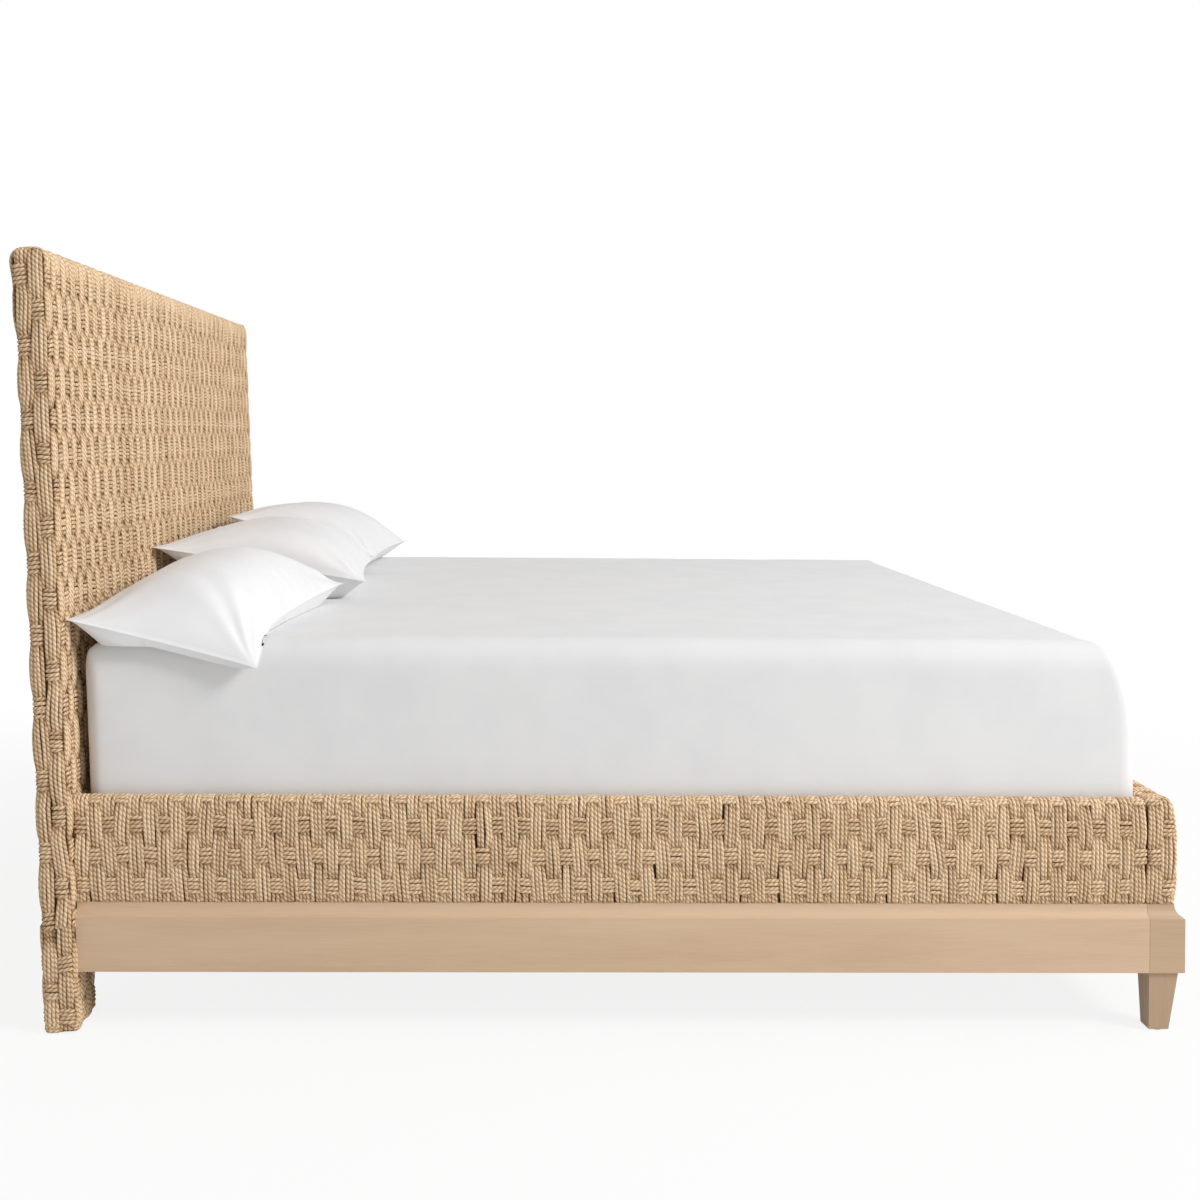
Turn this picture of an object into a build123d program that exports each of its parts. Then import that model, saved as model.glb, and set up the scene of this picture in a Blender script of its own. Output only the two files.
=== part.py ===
from build123d import *
import math
import os

# King bed with a raked headboard, side rails and foot rail wrapped in woven rope over a wood frame,
# a coved wood plinth, tapered foot legs, a slatted deck, a mattress with a fitted sheet and three pillows.
# Millimetres. X across the bed, +Y towards the head, +Z up. The origin is on the floor, under the
# middle of the bed's overall length and width.

# Mattress and sheet
mattress_width = 1922.0
mattress_length = 2046.0
mattress_height = 332.0
mattress_edge_radius = 62.0
mattress_corner_radius = 26.0
mattress_foot_run = 95.0
mattress_foot_drop = 180.0
sheet_thickness = 1.5
sheet_clearance = 0.3
sheet_hem_rise = 22.0
deck_clearance = 0.4

# Gaps round the mattress
foot_gap = 1.0
head_gap = 3.5
side_gap = 6.0

# Side rails
rail_core_thickness = 18.0
rail_weave_outer = 10.0
rail_weave_inner = 5.0
rail_weave_top = 7.0
rail_weave_bulge = 6.0
rail_inner_radius = 7.0
rail_top_height = 438.0
rail_top_radius = 16.0
weave_base_height = 240.0
weave_return_drop = 46.0
rail_core_base = 118.0
rail_end_gap = 0.5

# Plinth
plinth_base_height = 112.0
plinth_proud = 15.0
cove_height = 25.0
cove_mid_share = 0.32
foot_plinth_thickness = 23.0

# Foot unit
foot_depth = 68.0
foot_core_thickness = 45.0
foot_weave_outer = 8.0
foot_weave_inner = 3.0
foot_weave_end_radius = 14.0
foot_return_side_gap = 3.0
block_width = 68.0

# Foot legs
leg_top_size = 56.0
leg_bottom_size = 38.0
leg_side_inset = 5.0
leg_head_inset = 1.0
glide_height = 3.0
glide_radius = 14.0
hanger_bolt_radius = 4.0
hanger_bolt_in_leg = 34.0
hanger_bolt_in_block = 36.0

# Headboard
head_side_reach = 15.0
head_height = 1479.0
head_thickness = 63.0
head_rake = 2.79
head_weave = 9.0
head_flare = 7.0
head_flare_length = 190.0
head_top_radius = 24.0
head_side_radius = 13.0
head_lower_edge = 200.0
head_leg_width = 132.0
head_leg_clearance = 2.0
head_glide_height = 5.0
head_glide_radius = 18.0
post_width = 106.0
skin_thickness = 6.0
top_rail_height = 90.0
mid_rail_height = 80.0
mid_rail_centre = 840.0
lower_rail_height = 190.0
stile_width = 80.0
dowel_radius = 5.0
dowel_half_length = 30.0
dowel_spacing = 40.0

# Slatted deck
slat_count = 16
slat_width = 68.0
slat_thickness = 20.0
slat_top_height = 403.0
slat_end_gap = 3.0
slat_edge_radius = 3.0
deck_end_margin = 12.0
ledger_width = 30.0
ledger_height = 30.0
ledger_end_gap = 5.0
slat_screw_radius = 2.2
slat_screw_head_radius = 4.4
slat_screw_head_height = 3.0
slat_screw_length = 34.0
ledger_screw_count = 7
ledger_screw_rise = 8.0
ledger_screw_radius = 2.5
ledger_screw_head_radius = 5.0
ledger_screw_head_height = 3.0
ledger_screw_bite = 12.0

# Corner brackets
bracket_plate = 3.0
bracket_arm = 62.0
bracket_base_height = 240.0
bracket_height = 100.0
bracket_hole_rise = 25.0
bracket_bolt_reach = 28.0
bracket_bolt_radius = 4.0
bracket_bolt_head_radius = 7.0
bracket_bolt_head_height = 5.0
bracket_bolt_length = 33.0
bracket_screw_reach = 42.0
bracket_screw_radius = 2.5
bracket_screw_head_radius = 5.0
bracket_screw_head_height = 3.0
bracket_screw_length = 15.0

# Centre support
beam_width = 45.0
beam_height = 60.0
beam_end_gap = 0.5
hanger_plate = 3.0
hanger_plate_half_width = 58.0
hanger_plate_rise = 8.0
hanger_saddle_length = 50.0
hanger_saddle_height = 42.0
hanger_side_gap = 0.4
hanger_screw_reach = 42.0
hanger_screw_radius = 2.5
hanger_screw_head_radius = 5.0
hanger_screw_head_height = 3.0
hanger_screw_bite = 24.0
centre_leg_count = 3
centre_leg_pitch = 640.0
centre_leg_size = 45.0
leg_plate_thickness = 4.0
leg_plate_half_length = 52.0
leg_plate_half_width = 22.0
leg_plate_screw_reach = 38.0
leg_plate_screw_radius = 2.5
leg_plate_screw_head_radius = 5.0
leg_plate_screw_head_height = 3.0
leg_plate_screw_bite = 25.0

# Screw levelers under the centre legs
leveler_pad_radius = 20.0
leveler_pad_height = 6.0
leveler_pad_round = 2.0
leveler_collar_radius = 9.0
leveler_collar_height = 8.0
leveler_stop_gap = 0.3
leveler_stem_radius = 5.0
leveler_stem_gap = 0.05
leveler_stem_length = 46.0
insert_radius = 8.0
insert_length = 24.0

# Pillows, each given at its -X end and then at its +X end: the back seam's height and extra stand-off
# from the headboard, and the front seam's reach past the shortest one and its height
pillow_head_gap = 5.0
pillow_front_reach = 1576.0
pillow_deck_gap = 0.4
pillow_end_draw = 14.0
pillow_seam_draw = 17.0
pillow_end_fullness = 0.05
pillow_crown_shares = (0.30, 0.80)
pillow_crown_lifts = (1.0, 1.6)
pillow_flatness_power = 3
pillow_softness_power = 0.75
pillow_shares = (0.0, 0.08, 0.2, 0.5, 0.8, 0.92, 1.0)
pillow_droop_share = 0.2
pillow_droop_power = 1.5
near_pillow_length = 638.0
near_pillow_overhang = 39.0
near_pillow_back = ((775.0, 0.0), (804.0, 12.0))
near_pillow_front = ((120.0, 744.0), (48.0, 783.0))
near_pillow_rise = 106.0
near_pillow_droop = 58.0
middle_pillow_length = 668.0
middle_pillow_gap = 40.0
middle_pillow_back = ((860.0, 0.0), (868.0, 25.0))
middle_pillow_front = ((0.0, 783.0), (44.0, 783.0))
middle_pillow_rise = 98.0
far_pillow_length = 632.0
far_pillow_gap = 12.0
far_pillow_back = ((896.0, 45.0), (872.0, 12.0))
far_pillow_front = ((44.0, 783.0), (4.0, 783.0))
far_pillow_rise = 88.0

# How far cutting blocks reach past what they cut
cut_past = 1.0
trim_margin = 20.0
trim_depth = 600.0

# Derived heights and faces
rake_tan = math.tan(math.radians(head_rake))
rake_sin = math.sin(math.radians(head_rake))
rake_cos = math.cos(math.radians(head_rake))
head_length = (head_height - head_top_radius * (1 - rake_sin)) / rake_cos + head_top_radius
rail_inner_face = mattress_width / 2 + side_gap
rail_core_inner = rail_inner_face + rail_weave_inner
rail_core_outer = rail_core_inner + rail_core_thickness
rail_outer_half = rail_core_outer + rail_weave_outer
plinth_face = rail_outer_half + plinth_proud
head_width = 2 * (plinth_face + head_side_reach)
rail_core_top = rail_top_height - rail_weave_top
slat_base_height = slat_top_height - slat_thickness
block_inner_x = plinth_face - block_width
beam_base_height = slat_base_height - beam_height
mattress_base = slat_top_height + deck_clearance
sheet_growth = sheet_clearance + sheet_thickness

# Places along the bed, with the origin at the middle of the overall length
bedding_length = mattress_length + 2 * sheet_growth
foot_end_gap = foot_weave_inner + foot_gap
foot_to_head_line = foot_depth + foot_end_gap + bedding_length + head_gap - slat_top_height * rake_tan
head_back_reach = (
    (head_thickness + head_flare - head_top_radius) * rake_cos
    + (head_length - head_top_radius) * rake_sin
    + head_top_radius
)
overall_length = foot_to_head_line + head_back_reach
foot_face_y = -overall_length / 2
foot_inner_y = foot_face_y + foot_depth
foot_core_outer_y = foot_inner_y - foot_core_thickness
foot_weave_face_y = foot_core_outer_y - foot_weave_outer
head_line_y = foot_face_y + foot_to_head_line
mattress_foot_y = foot_inner_y + foot_end_gap + sheet_growth
mattress_head_y = mattress_foot_y + mattress_length


def head_face_y(height):
    """Y of the headboard's raked front face at a height."""
    return head_line_y + height * rake_tan


def block(x_span, y_span, z_span):
    """A box between two limits along each axis."""
    spans = (x_span, y_span, z_span)
    size = [high - low for low, high in spans]
    middle = [(low + high) / 2 for low, high in spans]
    return Pos(*middle) * Box(*size)


def raked(shape):
    """Carry a shape from the headboard's own upright frame to its raked place."""
    return Location((0, head_line_y, 0), (-head_rake, 0, 0)) * shape


def mirrored(shape):
    """The same piece on the other side of the bed."""
    return mirror(shape, about=Plane.YZ)


def joined(solids):
    """Several separate solids as one node."""
    return Compound(children=[solid for item in solids for solid in item.solids()])


def rod_x(x_start, x_end, y, z, radius):
    """A round bar along X."""
    length = abs(x_end - x_start)
    return Pos((x_start + x_end) / 2, y, z) * Rot(0, 90, 0) * Cylinder(radius, length)


def rod_y(x, y_start, y_end, z, radius):
    """A round bar along Y."""
    length = abs(y_end - y_start)
    return Pos(x, (y_start + y_end) / 2, z) * Rot(90, 0, 0) * Cylinder(radius, length)


def rod_z(x, y, z_start, z_end, radius):
    """A round bar along Z."""
    return Pos(x, y, (z_start + z_end) / 2) * Cylinder(radius, abs(z_end - z_start))


def cut_by(shape, tools):
    """Open each tool's seat in a shape."""
    for tool in tools:
        shape = shape - tool
    return shape


def behind_head_face(clearance):
    """Everything on the headboard's side of its front face, less a clearance."""
    reach = 2 * head_width
    z_span = (-trim_depth, head_length + trim_depth)
    return raked(block((-reach, reach), (-clearance, trim_depth), z_span))


# Headboard, modelled upright: Y runs from the front face to the back, Z up along the posts
head_half = head_width / 2
post_outer_x = head_half - head_weave
post_inner_x = post_outer_x - post_width
core_front = head_weave
core_back = head_thickness - head_weave
core_base = head_lower_edge + head_weave
core_top = head_length - head_weave
stuffing_front = core_front + skin_thickness
stuffing_back = core_back - skin_thickness
core_middle = (core_front + core_back) / 2
lower_rail_span = (core_base, core_base + lower_rail_height)
mid_rail_span = (mid_rail_centre - mid_rail_height / 2, mid_rail_centre + mid_rail_height / 2)
top_rail_span = (core_top - top_rail_height, core_top)


def headboard_dowels():
    """Two dowels at each end of each cross rail."""
    dowels = []
    for span in (lower_rail_span, mid_rail_span, top_rail_span):
        centre = (span[0] + span[1]) / 2
        for offset in (-dowel_spacing / 2, dowel_spacing / 2):
            for side in (-1, 1):
                inner = side * (post_inner_x - dowel_half_length)
                outer = side * (post_inner_x + dowel_half_length)
                dowels.append(rod_x(inner, outer, core_middle, centre + offset, dowel_radius))
    return dowels


def headboard_outer():
    """The wrapped panel's outer form, with its back flared towards the rounded top edge."""
    back_top = head_thickness + head_flare
    flare_start = (head_thickness, head_length - head_flare_length)
    flare_end = (back_top, head_length - head_top_radius)
    front_end = (head_top_radius, head_length)
    outline = [
        Line((0, head_lower_edge), (head_thickness, head_lower_edge)),
        Line((head_thickness, head_lower_edge), flare_start),
        Line(flare_start, flare_end),
        RadiusArc(flare_end, (back_top - head_top_radius, head_length), -head_top_radius),
        Line((back_top - head_top_radius, head_length), front_end),
        RadiusArc(front_end, (0, head_length - head_top_radius), -head_top_radius),
        Line((0, head_length - head_top_radius), (0, head_lower_edge)),
    ]
    profile = Plane.YZ * make_face(outline)
    slab = Pos(-head_half, 0, 0) * extrude(profile, head_width)
    upright = [
        edge
        for edge in slab.edges()
        if abs(abs(edge.center().X) - head_half) < 0.01 and edge.center().Z > head_lower_edge + cut_past
    ]
    return fillet(upright, head_side_radius)


def headboard_weave(fasteners):
    """Woven cover round the panel, open below where the posts leave as legs."""
    cavity = block((-post_outer_x, post_outer_x), (core_front, core_back), (core_base, core_top))
    cover = headboard_outer() - cavity
    for side in (-1, 1):
        xs = sorted((side * post_inner_x, side * post_outer_x))
        cover -= block(xs, (core_front, core_back), (head_lower_edge - cut_past, core_base + cut_past))
    return raked(cut_by(cover, fasteners))


def below(height):
    """Everything on the +X side under a level height."""
    return block((0, head_width), (-overall_length, overall_length), (-3 * trim_margin, height))


def post(fasteners):
    """One upright, running to the floor as the leg's core."""
    upright = block((post_inner_x, post_outer_x), (core_front, core_back), (-head_weave, core_top))
    upright = raked(cut_by(upright, fasteners))
    return upright - below(head_glide_height)


def leg_wrap():
    """Rope wrapped round one leg, from the panel's lower edge to the floor."""
    outer = block(
        (head_half - head_leg_width, head_half), (0, head_thickness), (-trim_margin, head_lower_edge)
    )
    outer = fillet(outer.edges().filter_by(Axis.Z), head_side_radius)
    hollow = block(
        (post_inner_x, post_outer_x),
        (core_front, core_back),
        (-2 * trim_margin, head_lower_edge + cut_past),
    )
    return raked(outer - hollow) - below(head_leg_clearance)


def head_glide():
    """Round glide under one post."""
    x = (post_inner_x + post_outer_x) / 2
    y = head_line_y + core_middle
    return rod_z(x, y, 0, head_glide_height, head_glide_radius)


def cross_rail(span, tools):
    """One rail between the posts, between the two plywood skins."""
    rail = block((-post_inner_x, post_inner_x), (stuffing_front, stuffing_back), span)
    return raked(cut_by(rail, tools))


def centre_stile():
    """Two short uprights in line, between the three cross rails."""
    half = stile_width / 2
    spans = ((lower_rail_span[1], mid_rail_span[0]), (mid_rail_span[1], top_rail_span[0]))
    return joined([raked(block((-half, half), (stuffing_front, stuffing_back), s)) for s in spans])


def plywood_skin(y_span, tools):
    """Plywood skin between the posts."""
    skin = block((-post_inner_x, post_inner_x), y_span, (core_base, core_top))
    return raked(cut_by(skin, tools))


# Side rails
def rail_length_span():
    """From the foot unit to well past the headboard's face, which the raked cut then trims."""
    return (foot_inner_y + rail_end_gap, head_line_y + head_thickness + head_height * rake_tan)


def side_rail_core(fasteners):
    """Structural board of one side rail."""
    board = block((rail_core_inner, rail_core_outer), rail_length_span(), (rail_core_base, rail_core_top))
    return cut_by(board - behind_head_face(rail_end_gap), fasteners)


def bulged_face(low, high):
    """Slightly bulged outer face of a woven cover, between its lower and upper edges."""
    middle = (low[0] + rail_weave_bulge, (low[1] + high[1]) / 2)
    return ThreePointArc(low, middle, high)


def wrapped_outline(inner, face):
    """Upright section of a woven cover's outer form, from an inner side to its bulged face."""
    top, radius = rail_top_height, rail_top_radius
    return [
        Line((inner, weave_base_height), (face, weave_base_height)),
        bulged_face((face, weave_base_height), (face, top - radius)),
        RadiusArc((face, top - radius), (face - radius, top), -radius),
        Line((face - radius, top), (inner, top)),
        Line((inner, top), (inner, weave_base_height)),
    ]


def side_weave():
    """Woven cover over the outside, top and upper inside of one side rail."""
    return_base = rail_top_height - weave_return_drop
    x_in, x_out = rail_inner_face, rail_outer_half
    top, radius = rail_top_height, rail_top_radius
    small = rail_inner_radius
    outline = [
        Line((rail_core_outer, weave_base_height), (x_out, weave_base_height)),
        bulged_face((x_out, weave_base_height), (x_out, top - radius)),
        RadiusArc((x_out, top - radius), (x_out - radius, top), -radius),
        Line((x_out - radius, top), (x_in + small, top)),
        RadiusArc((x_in + small, top), (x_in, top - small), -small),
        Line((x_in, top - small), (x_in, return_base)),
        Line((x_in, return_base), (rail_core_inner, return_base)),
        Line((rail_core_inner, return_base), (rail_core_inner, rail_core_top)),
        Line((rail_core_inner, rail_core_top), (rail_core_outer, rail_core_top)),
        Line((rail_core_outer, rail_core_top), (rail_core_outer, weave_base_height)),
    ]
    start, end = rail_length_span()
    section = Plane((0, end, 0), x_dir=(1, 0, 0), z_dir=(0, -1, 0)) * make_face(outline)
    return extrude(section, end - start) - behind_head_face(rail_end_gap)


def cove_outline(inner, face, top):
    """Upright plinth section: a flat face with a hollow cove above it, up to the weave's face."""
    shoulder = face - plinth_proud
    cove_base = top - cove_height
    bulge = (shoulder + plinth_proud * cove_mid_share, top - cove_height * (1 - cove_mid_share))
    return [
        Line((inner, plinth_base_height), (face, plinth_base_height)),
        Line((face, plinth_base_height), (face, cove_base)),
        ThreePointArc((face, cove_base), bulge, (shoulder, top)),
        Line((shoulder, top), (inner, top)),
        Line((inner, top), (inner, plinth_base_height)),
    ]


def side_plinth():
    """Coved board under the weave, along one side rail."""
    start, end = rail_length_span()
    outline = cove_outline(rail_core_outer, plinth_face, weave_base_height)
    section = Plane((0, end, 0), x_dir=(1, 0, 0), z_dir=(0, -1, 0)) * make_face(outline)
    return extrude(section, end - start) - behind_head_face(rail_end_gap)


def ledger_span():
    """The ledgers run nearly the whole inside length."""
    return (foot_inner_y + ledger_end_gap, head_face_y(slat_base_height - ledger_height) - ledger_end_gap)


def ledger(fasteners):
    """Strip inside one rail that the slats lie on."""
    x_span = (rail_core_inner - ledger_width, rail_core_inner)
    strip = block(x_span, ledger_span(), (slat_base_height - ledger_height, slat_base_height))
    return cut_by(strip, fasteners)


def ledger_screws():
    """Screws from one ledger into its rail."""
    start, end = ledger_span()
    pitch = (end - start) / ledger_screw_count
    height = slat_base_height - ledger_height + ledger_screw_rise
    face = rail_core_inner - ledger_width
    screws = []
    for index in range(ledger_screw_count):
        y = start + pitch * (index + 0.5)
        head = rod_x(face - ledger_screw_head_height, face, y, height, ledger_screw_head_radius)
        shank = rod_x(face, rail_core_inner + ledger_screw_bite, y, height, ledger_screw_radius)
        screws.append(head + shank)
    return screws


# Foot unit
def foot_core(fasteners):
    """Board across the foot, full width above the corner blocks and between them below."""
    y_span = (foot_core_outer_y, foot_inner_y)
    upper = block((-rail_core_outer, rail_core_outer), y_span, (weave_base_height, rail_core_top))
    lower = block((-block_inner_x, block_inner_x), y_span, (rail_core_base, weave_base_height))
    return cut_by(upper + lower, fasteners)


def foot_weave():
    """Woven cover over the foot rail's face, top and ends, with a short return inside."""
    face = foot_inner_y - foot_weave_face_y
    across = Plane((plinth_face, foot_inner_y, 0), x_dir=(0, -1, 0), z_dir=(-1, 0, 0))
    front_form = extrude(across * make_face(wrapped_outline(0, face)), 2 * plinth_face)
    along = Plane((0, foot_inner_y, 0), x_dir=(1, 0, 0), z_dir=(0, -1, 0))
    end_form = extrude(along * make_face(wrapped_outline(0, rail_outer_half)), foot_depth)
    half_width = rail_outer_half + rail_weave_bulge
    depth = face + rail_weave_bulge
    plan = Pos(0, foot_inner_y, 0) * RectangleRounded(2 * half_width, 2 * depth, foot_weave_end_radius)
    outer = front_form & (end_form + mirrored(end_form)) & extrude(plan, rail_top_height + trim_margin)
    inner_half = rail_inner_face - foot_return_side_gap
    inner_return = block(
        (-inner_half, inner_half),
        (foot_inner_y, foot_inner_y + foot_weave_inner),
        (rail_top_height - weave_return_drop, rail_top_height),
    )
    board = block(
        (-rail_core_outer, rail_core_outer),
        (foot_core_outer_y, foot_inner_y + cut_past),
        (weave_base_height - cut_past, rail_core_top),
    )
    return (outer - board) + inner_return


def foot_plinth():
    """Coved board across the foot, between the corner blocks."""
    across = Plane((block_inner_x, foot_core_outer_y, 0), x_dir=(0, -1, 0), z_dir=(-1, 0, 0))
    outline = cove_outline(0, foot_plinth_thickness, weave_base_height)
    return extrude(across * make_face(outline), 2 * block_inner_x)


def corner_block(fasteners):
    """Square block at one foot corner, coved on its two outer faces."""
    cube = block(
        (block_inner_x, plinth_face), (foot_face_y, foot_inner_y), (plinth_base_height, weave_base_height)
    )
    side = Plane((0, foot_inner_y, 0), x_dir=(1, 0, 0), z_dir=(0, -1, 0))
    side_outline = cove_outline(block_inner_x, plinth_face, weave_base_height)
    side_form = extrude(side * make_face(side_outline), foot_depth)
    front = Plane((block_inner_x, foot_inner_y, 0), x_dir=(0, -1, 0), z_dir=(-1, 0, 0))
    front_form = extrude(front * make_face(cove_outline(0, foot_depth, weave_base_height)), -block_width)
    return cut_by(cube & side_form & front_form, fasteners)


def leg_centre():
    """Middle of one foot leg's top, in plan."""
    x = plinth_face - leg_side_inset - leg_top_size / 2
    y = foot_inner_y - leg_head_inset - leg_top_size / 2
    return x, y


def foot_leg(fasteners):
    """Leg with upright outer and head-side faces, tapered on the other two."""
    outer_x = plinth_face - leg_side_inset
    head_y = foot_inner_y - leg_head_inset

    def square(size, height):
        corner = Plane((outer_x - size / 2, head_y - size / 2, height))
        return corner * Rectangle(size, size)

    leg = loft([square(leg_bottom_size, glide_height), square(leg_top_size, plinth_base_height)])
    return cut_by(leg, fasteners)


def hanger_bolt():
    """Bolt that holds one foot leg to its block."""
    x, y = leg_centre()
    low = plinth_base_height - hanger_bolt_in_leg
    return rod_z(x, y, low, plinth_base_height + hanger_bolt_in_block, hanger_bolt_radius)


def foot_glide():
    """Round glide under one foot leg."""
    x = plinth_face - leg_side_inset - leg_bottom_size / 2
    y = foot_inner_y - leg_head_inset - leg_bottom_size / 2
    return rod_z(x, y, 0, glide_height, glide_radius)


def corner_dowels():
    """Two dowels from one corner block into the foot board."""
    y = foot_inner_y - foot_core_thickness / 2
    middle = (rail_core_base + weave_base_height) / 2
    spots = (middle - dowel_spacing / 2, middle + dowel_spacing / 2)
    return [rod_x(block_inner_x - dowel_half_length, block_inner_x + dowel_half_length, y, z, dowel_radius)
            for z in spots]


# Corner brackets, drawn against a face at Y = 0 that they are bolted to from the -Y side
def bracket_bolts():
    """Bolts through the bracket's end plate into the post or foot board."""
    x = rail_core_inner - bracket_bolt_reach
    bolts = []
    for z in bracket_hole_heights():
        head_end = -bracket_plate - bracket_bolt_head_height
        head = rod_y(x, head_end, -bracket_plate, z, bracket_bolt_head_radius)
        shank = rod_y(x, -bracket_plate, bracket_bolt_length, z, bracket_bolt_radius)
        bolts.append(head + shank)
    return bolts


def bracket_screws():
    """Screws through the bracket's side plate into the rail."""
    face = rail_core_inner - bracket_plate
    screws = []
    for z in bracket_hole_heights():
        y = -bracket_screw_reach
        head = rod_x(face - bracket_screw_head_height, face, y, z, bracket_screw_head_radius)
        shank = rod_x(face, face + bracket_screw_length, y, z, bracket_screw_radius)
        screws.append(head + shank)
    return screws


def bracket_hole_heights():
    """Two fixings, one near each end of the plate."""
    top = bracket_base_height + bracket_height
    return bracket_base_height + bracket_hole_rise, top - bracket_hole_rise


def corner_bracket():
    """Steel angle: one plate on the end face, the other along the rail's inner face."""
    x_end = rail_core_inner
    z_span = (bracket_base_height, bracket_base_height + bracket_height)
    end_plate = block((x_end - bracket_arm, x_end), (-bracket_plate, 0), z_span)
    side_plate = block((x_end - bracket_plate, x_end), (-bracket_arm, 0), z_span)
    return cut_by(end_plate + side_plate, bracket_bolts() + bracket_screws())


def at_foot(shape):
    """Turn a bracket piece round to face the foot unit's inner face."""
    return Pos(0, foot_inner_y, 0) * mirror(shape, about=Plane.XZ)


# Centre beam, its hangers and legs
beam_half = beam_width / 2
hanger_half = beam_half + hanger_side_gap + hanger_plate
hanger_base = beam_base_height - hanger_plate
plate_span = (hanger_base - hanger_plate_rise, hanger_base + hanger_saddle_height + hanger_plate_rise)
beam_foot_y = foot_inner_y + hanger_plate + beam_end_gap
beam_head_y = head_face_y(beam_base_height) - hanger_plate / rake_cos - beam_end_gap


def centre_beam(fasteners):
    """Beam under the middle of the slats, from foot to head."""
    beam = block((-beam_half, beam_half), (beam_foot_y, beam_head_y), (beam_base_height, slat_base_height))
    return cut_by(beam, fasteners)


def saddle(y_span):
    """U-shaped seat that a beam end drops into."""
    outer = block((-hanger_half, hanger_half), y_span, (hanger_base, hanger_base + hanger_saddle_height))
    inner_half = hanger_half - hanger_plate
    inner_y = (y_span[0] - trim_margin, y_span[1] + trim_margin)
    return outer - block((-inner_half, inner_half), inner_y, (beam_base_height, slat_base_height))


def hanger_screws():
    """Four screws per hanger, drawn against a face at Y = 0 from the -Y side."""
    screws = []
    centre = (plate_span[0] + plate_span[1]) / 2
    rise = (plate_span[1] - plate_span[0]) / 4
    for x in (-hanger_screw_reach, hanger_screw_reach):
        for z in (centre - rise, centre + rise):
            front = -hanger_plate - hanger_screw_head_height
            head = rod_y(x, front, -hanger_plate, z, hanger_screw_head_radius)
            screws.append(head + rod_y(x, -hanger_plate, hanger_screw_bite, z, hanger_screw_radius))
    return screws


def hanger_plate_solid():
    """Back plate of a hanger, against a face at Y = 0."""
    half = hanger_plate_half_width
    return cut_by(block((-half, half), (-hanger_plate, 0), plate_span), hanger_screws())


def foot_hanger():
    """Hanger on the foot board."""
    seat = saddle((foot_inner_y + hanger_plate, foot_inner_y + hanger_plate + hanger_saddle_length))
    return at_foot(hanger_plate_solid()) + seat


def head_hanger():
    """Hanger on the headboard, its back plate following the rake."""
    reach = head_face_y(slat_top_height)
    seat = saddle((beam_head_y - hanger_saddle_length, reach)) - behind_head_face(hanger_plate / 2)
    return raked(hanger_plate_solid()) + seat


leg_plate_base = beam_base_height - leg_plate_thickness
centre_leg_base = leveler_pad_height + leveler_collar_height + leveler_stop_gap
centre_leg_places = [centre_leg_pitch * (i - (centre_leg_count - 1) / 2) for i in range(centre_leg_count)]


def leg_plate_screws(y):
    """Two screws from one plate up into the beam, and one down into its leg."""
    screws = []
    for offset in (-leg_plate_screw_reach, leg_plate_screw_reach):
        low = leg_plate_base - leg_plate_screw_head_height
        head = rod_z(0, y + offset, low, leg_plate_base, leg_plate_screw_head_radius)
        top = beam_base_height + leg_plate_screw_bite
        screws.append(head + rod_z(0, y + offset, leg_plate_base, top, leg_plate_screw_radius))
    head_low = beam_base_height - leg_plate_screw_head_height
    head = rod_z(0, y, head_low, beam_base_height, leg_plate_screw_head_radius)
    shank = rod_z(0, y, leg_plate_base - leg_plate_screw_bite, head_low, leg_plate_screw_radius)
    screws.append(head + shank)
    return screws


def leg_plate(y):
    """Steel plate between one centre leg and the beam."""
    y_span = (y - leg_plate_half_length, y + leg_plate_half_length)
    plate = block((-leg_plate_half_width, leg_plate_half_width), y_span, (leg_plate_base, beam_base_height))
    return cut_by(plate, leg_plate_screws(y))


def centre_leg(y):
    """Square leg under the beam, bored for its insert and leveler."""
    half = centre_leg_size / 2
    leg = block((-half, half), (y - half, y + half), (centre_leg_base, leg_plate_base))
    bore_top = centre_leg_base + leveler_stem_length
    bore_low = centre_leg_base - cut_past
    bore = rod_z(0, y, bore_low, bore_top, leveler_stem_radius + leveler_stem_gap)
    seat = rod_z(0, y, bore_low, centre_leg_base + insert_length, insert_radius)
    return cut_by(leg, [bore, seat] + leg_plate_screws(y))


def leveler_insert(y):
    """Threaded sleeve in the foot of one centre leg."""
    top = centre_leg_base + insert_length
    sleeve = rod_z(0, y, centre_leg_base, top, insert_radius)
    bore_radius = leveler_stem_radius + leveler_stem_gap
    return sleeve - rod_z(0, y, centre_leg_base - cut_past, top + cut_past, bore_radius)


def leveler(y):
    """Pad, hexagonal collar and stem of one screw leveler."""
    pad = rod_z(0, y, 0, leveler_pad_height, leveler_pad_radius)
    pad = fillet(pad.edges().filter_by(GeomType.CIRCLE).sort_by(Axis.Z)[-1], leveler_pad_round)
    hexagon = Plane((0, y, leveler_pad_height)) * RegularPolygon(leveler_collar_radius, 6)
    collar = extrude(hexagon, leveler_collar_height)
    collar_top = leveler_pad_height + leveler_collar_height
    stem_top = centre_leg_base + leveler_stem_length - leveler_stop_gap
    stem = rod_z(0, y, collar_top, stem_top, leveler_stem_radius)
    return pad + collar + stem


# Slats
def slat_places():
    """Middle of each slat along the bed."""
    start = foot_inner_y + foot_end_gap + deck_end_margin + slat_width / 2
    end = head_face_y(slat_base_height) - head_gap - deck_end_margin - slat_width / 2
    pitch = (end - start) / (slat_count - 1)
    return [start + pitch * index for index in range(slat_count)]


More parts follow.
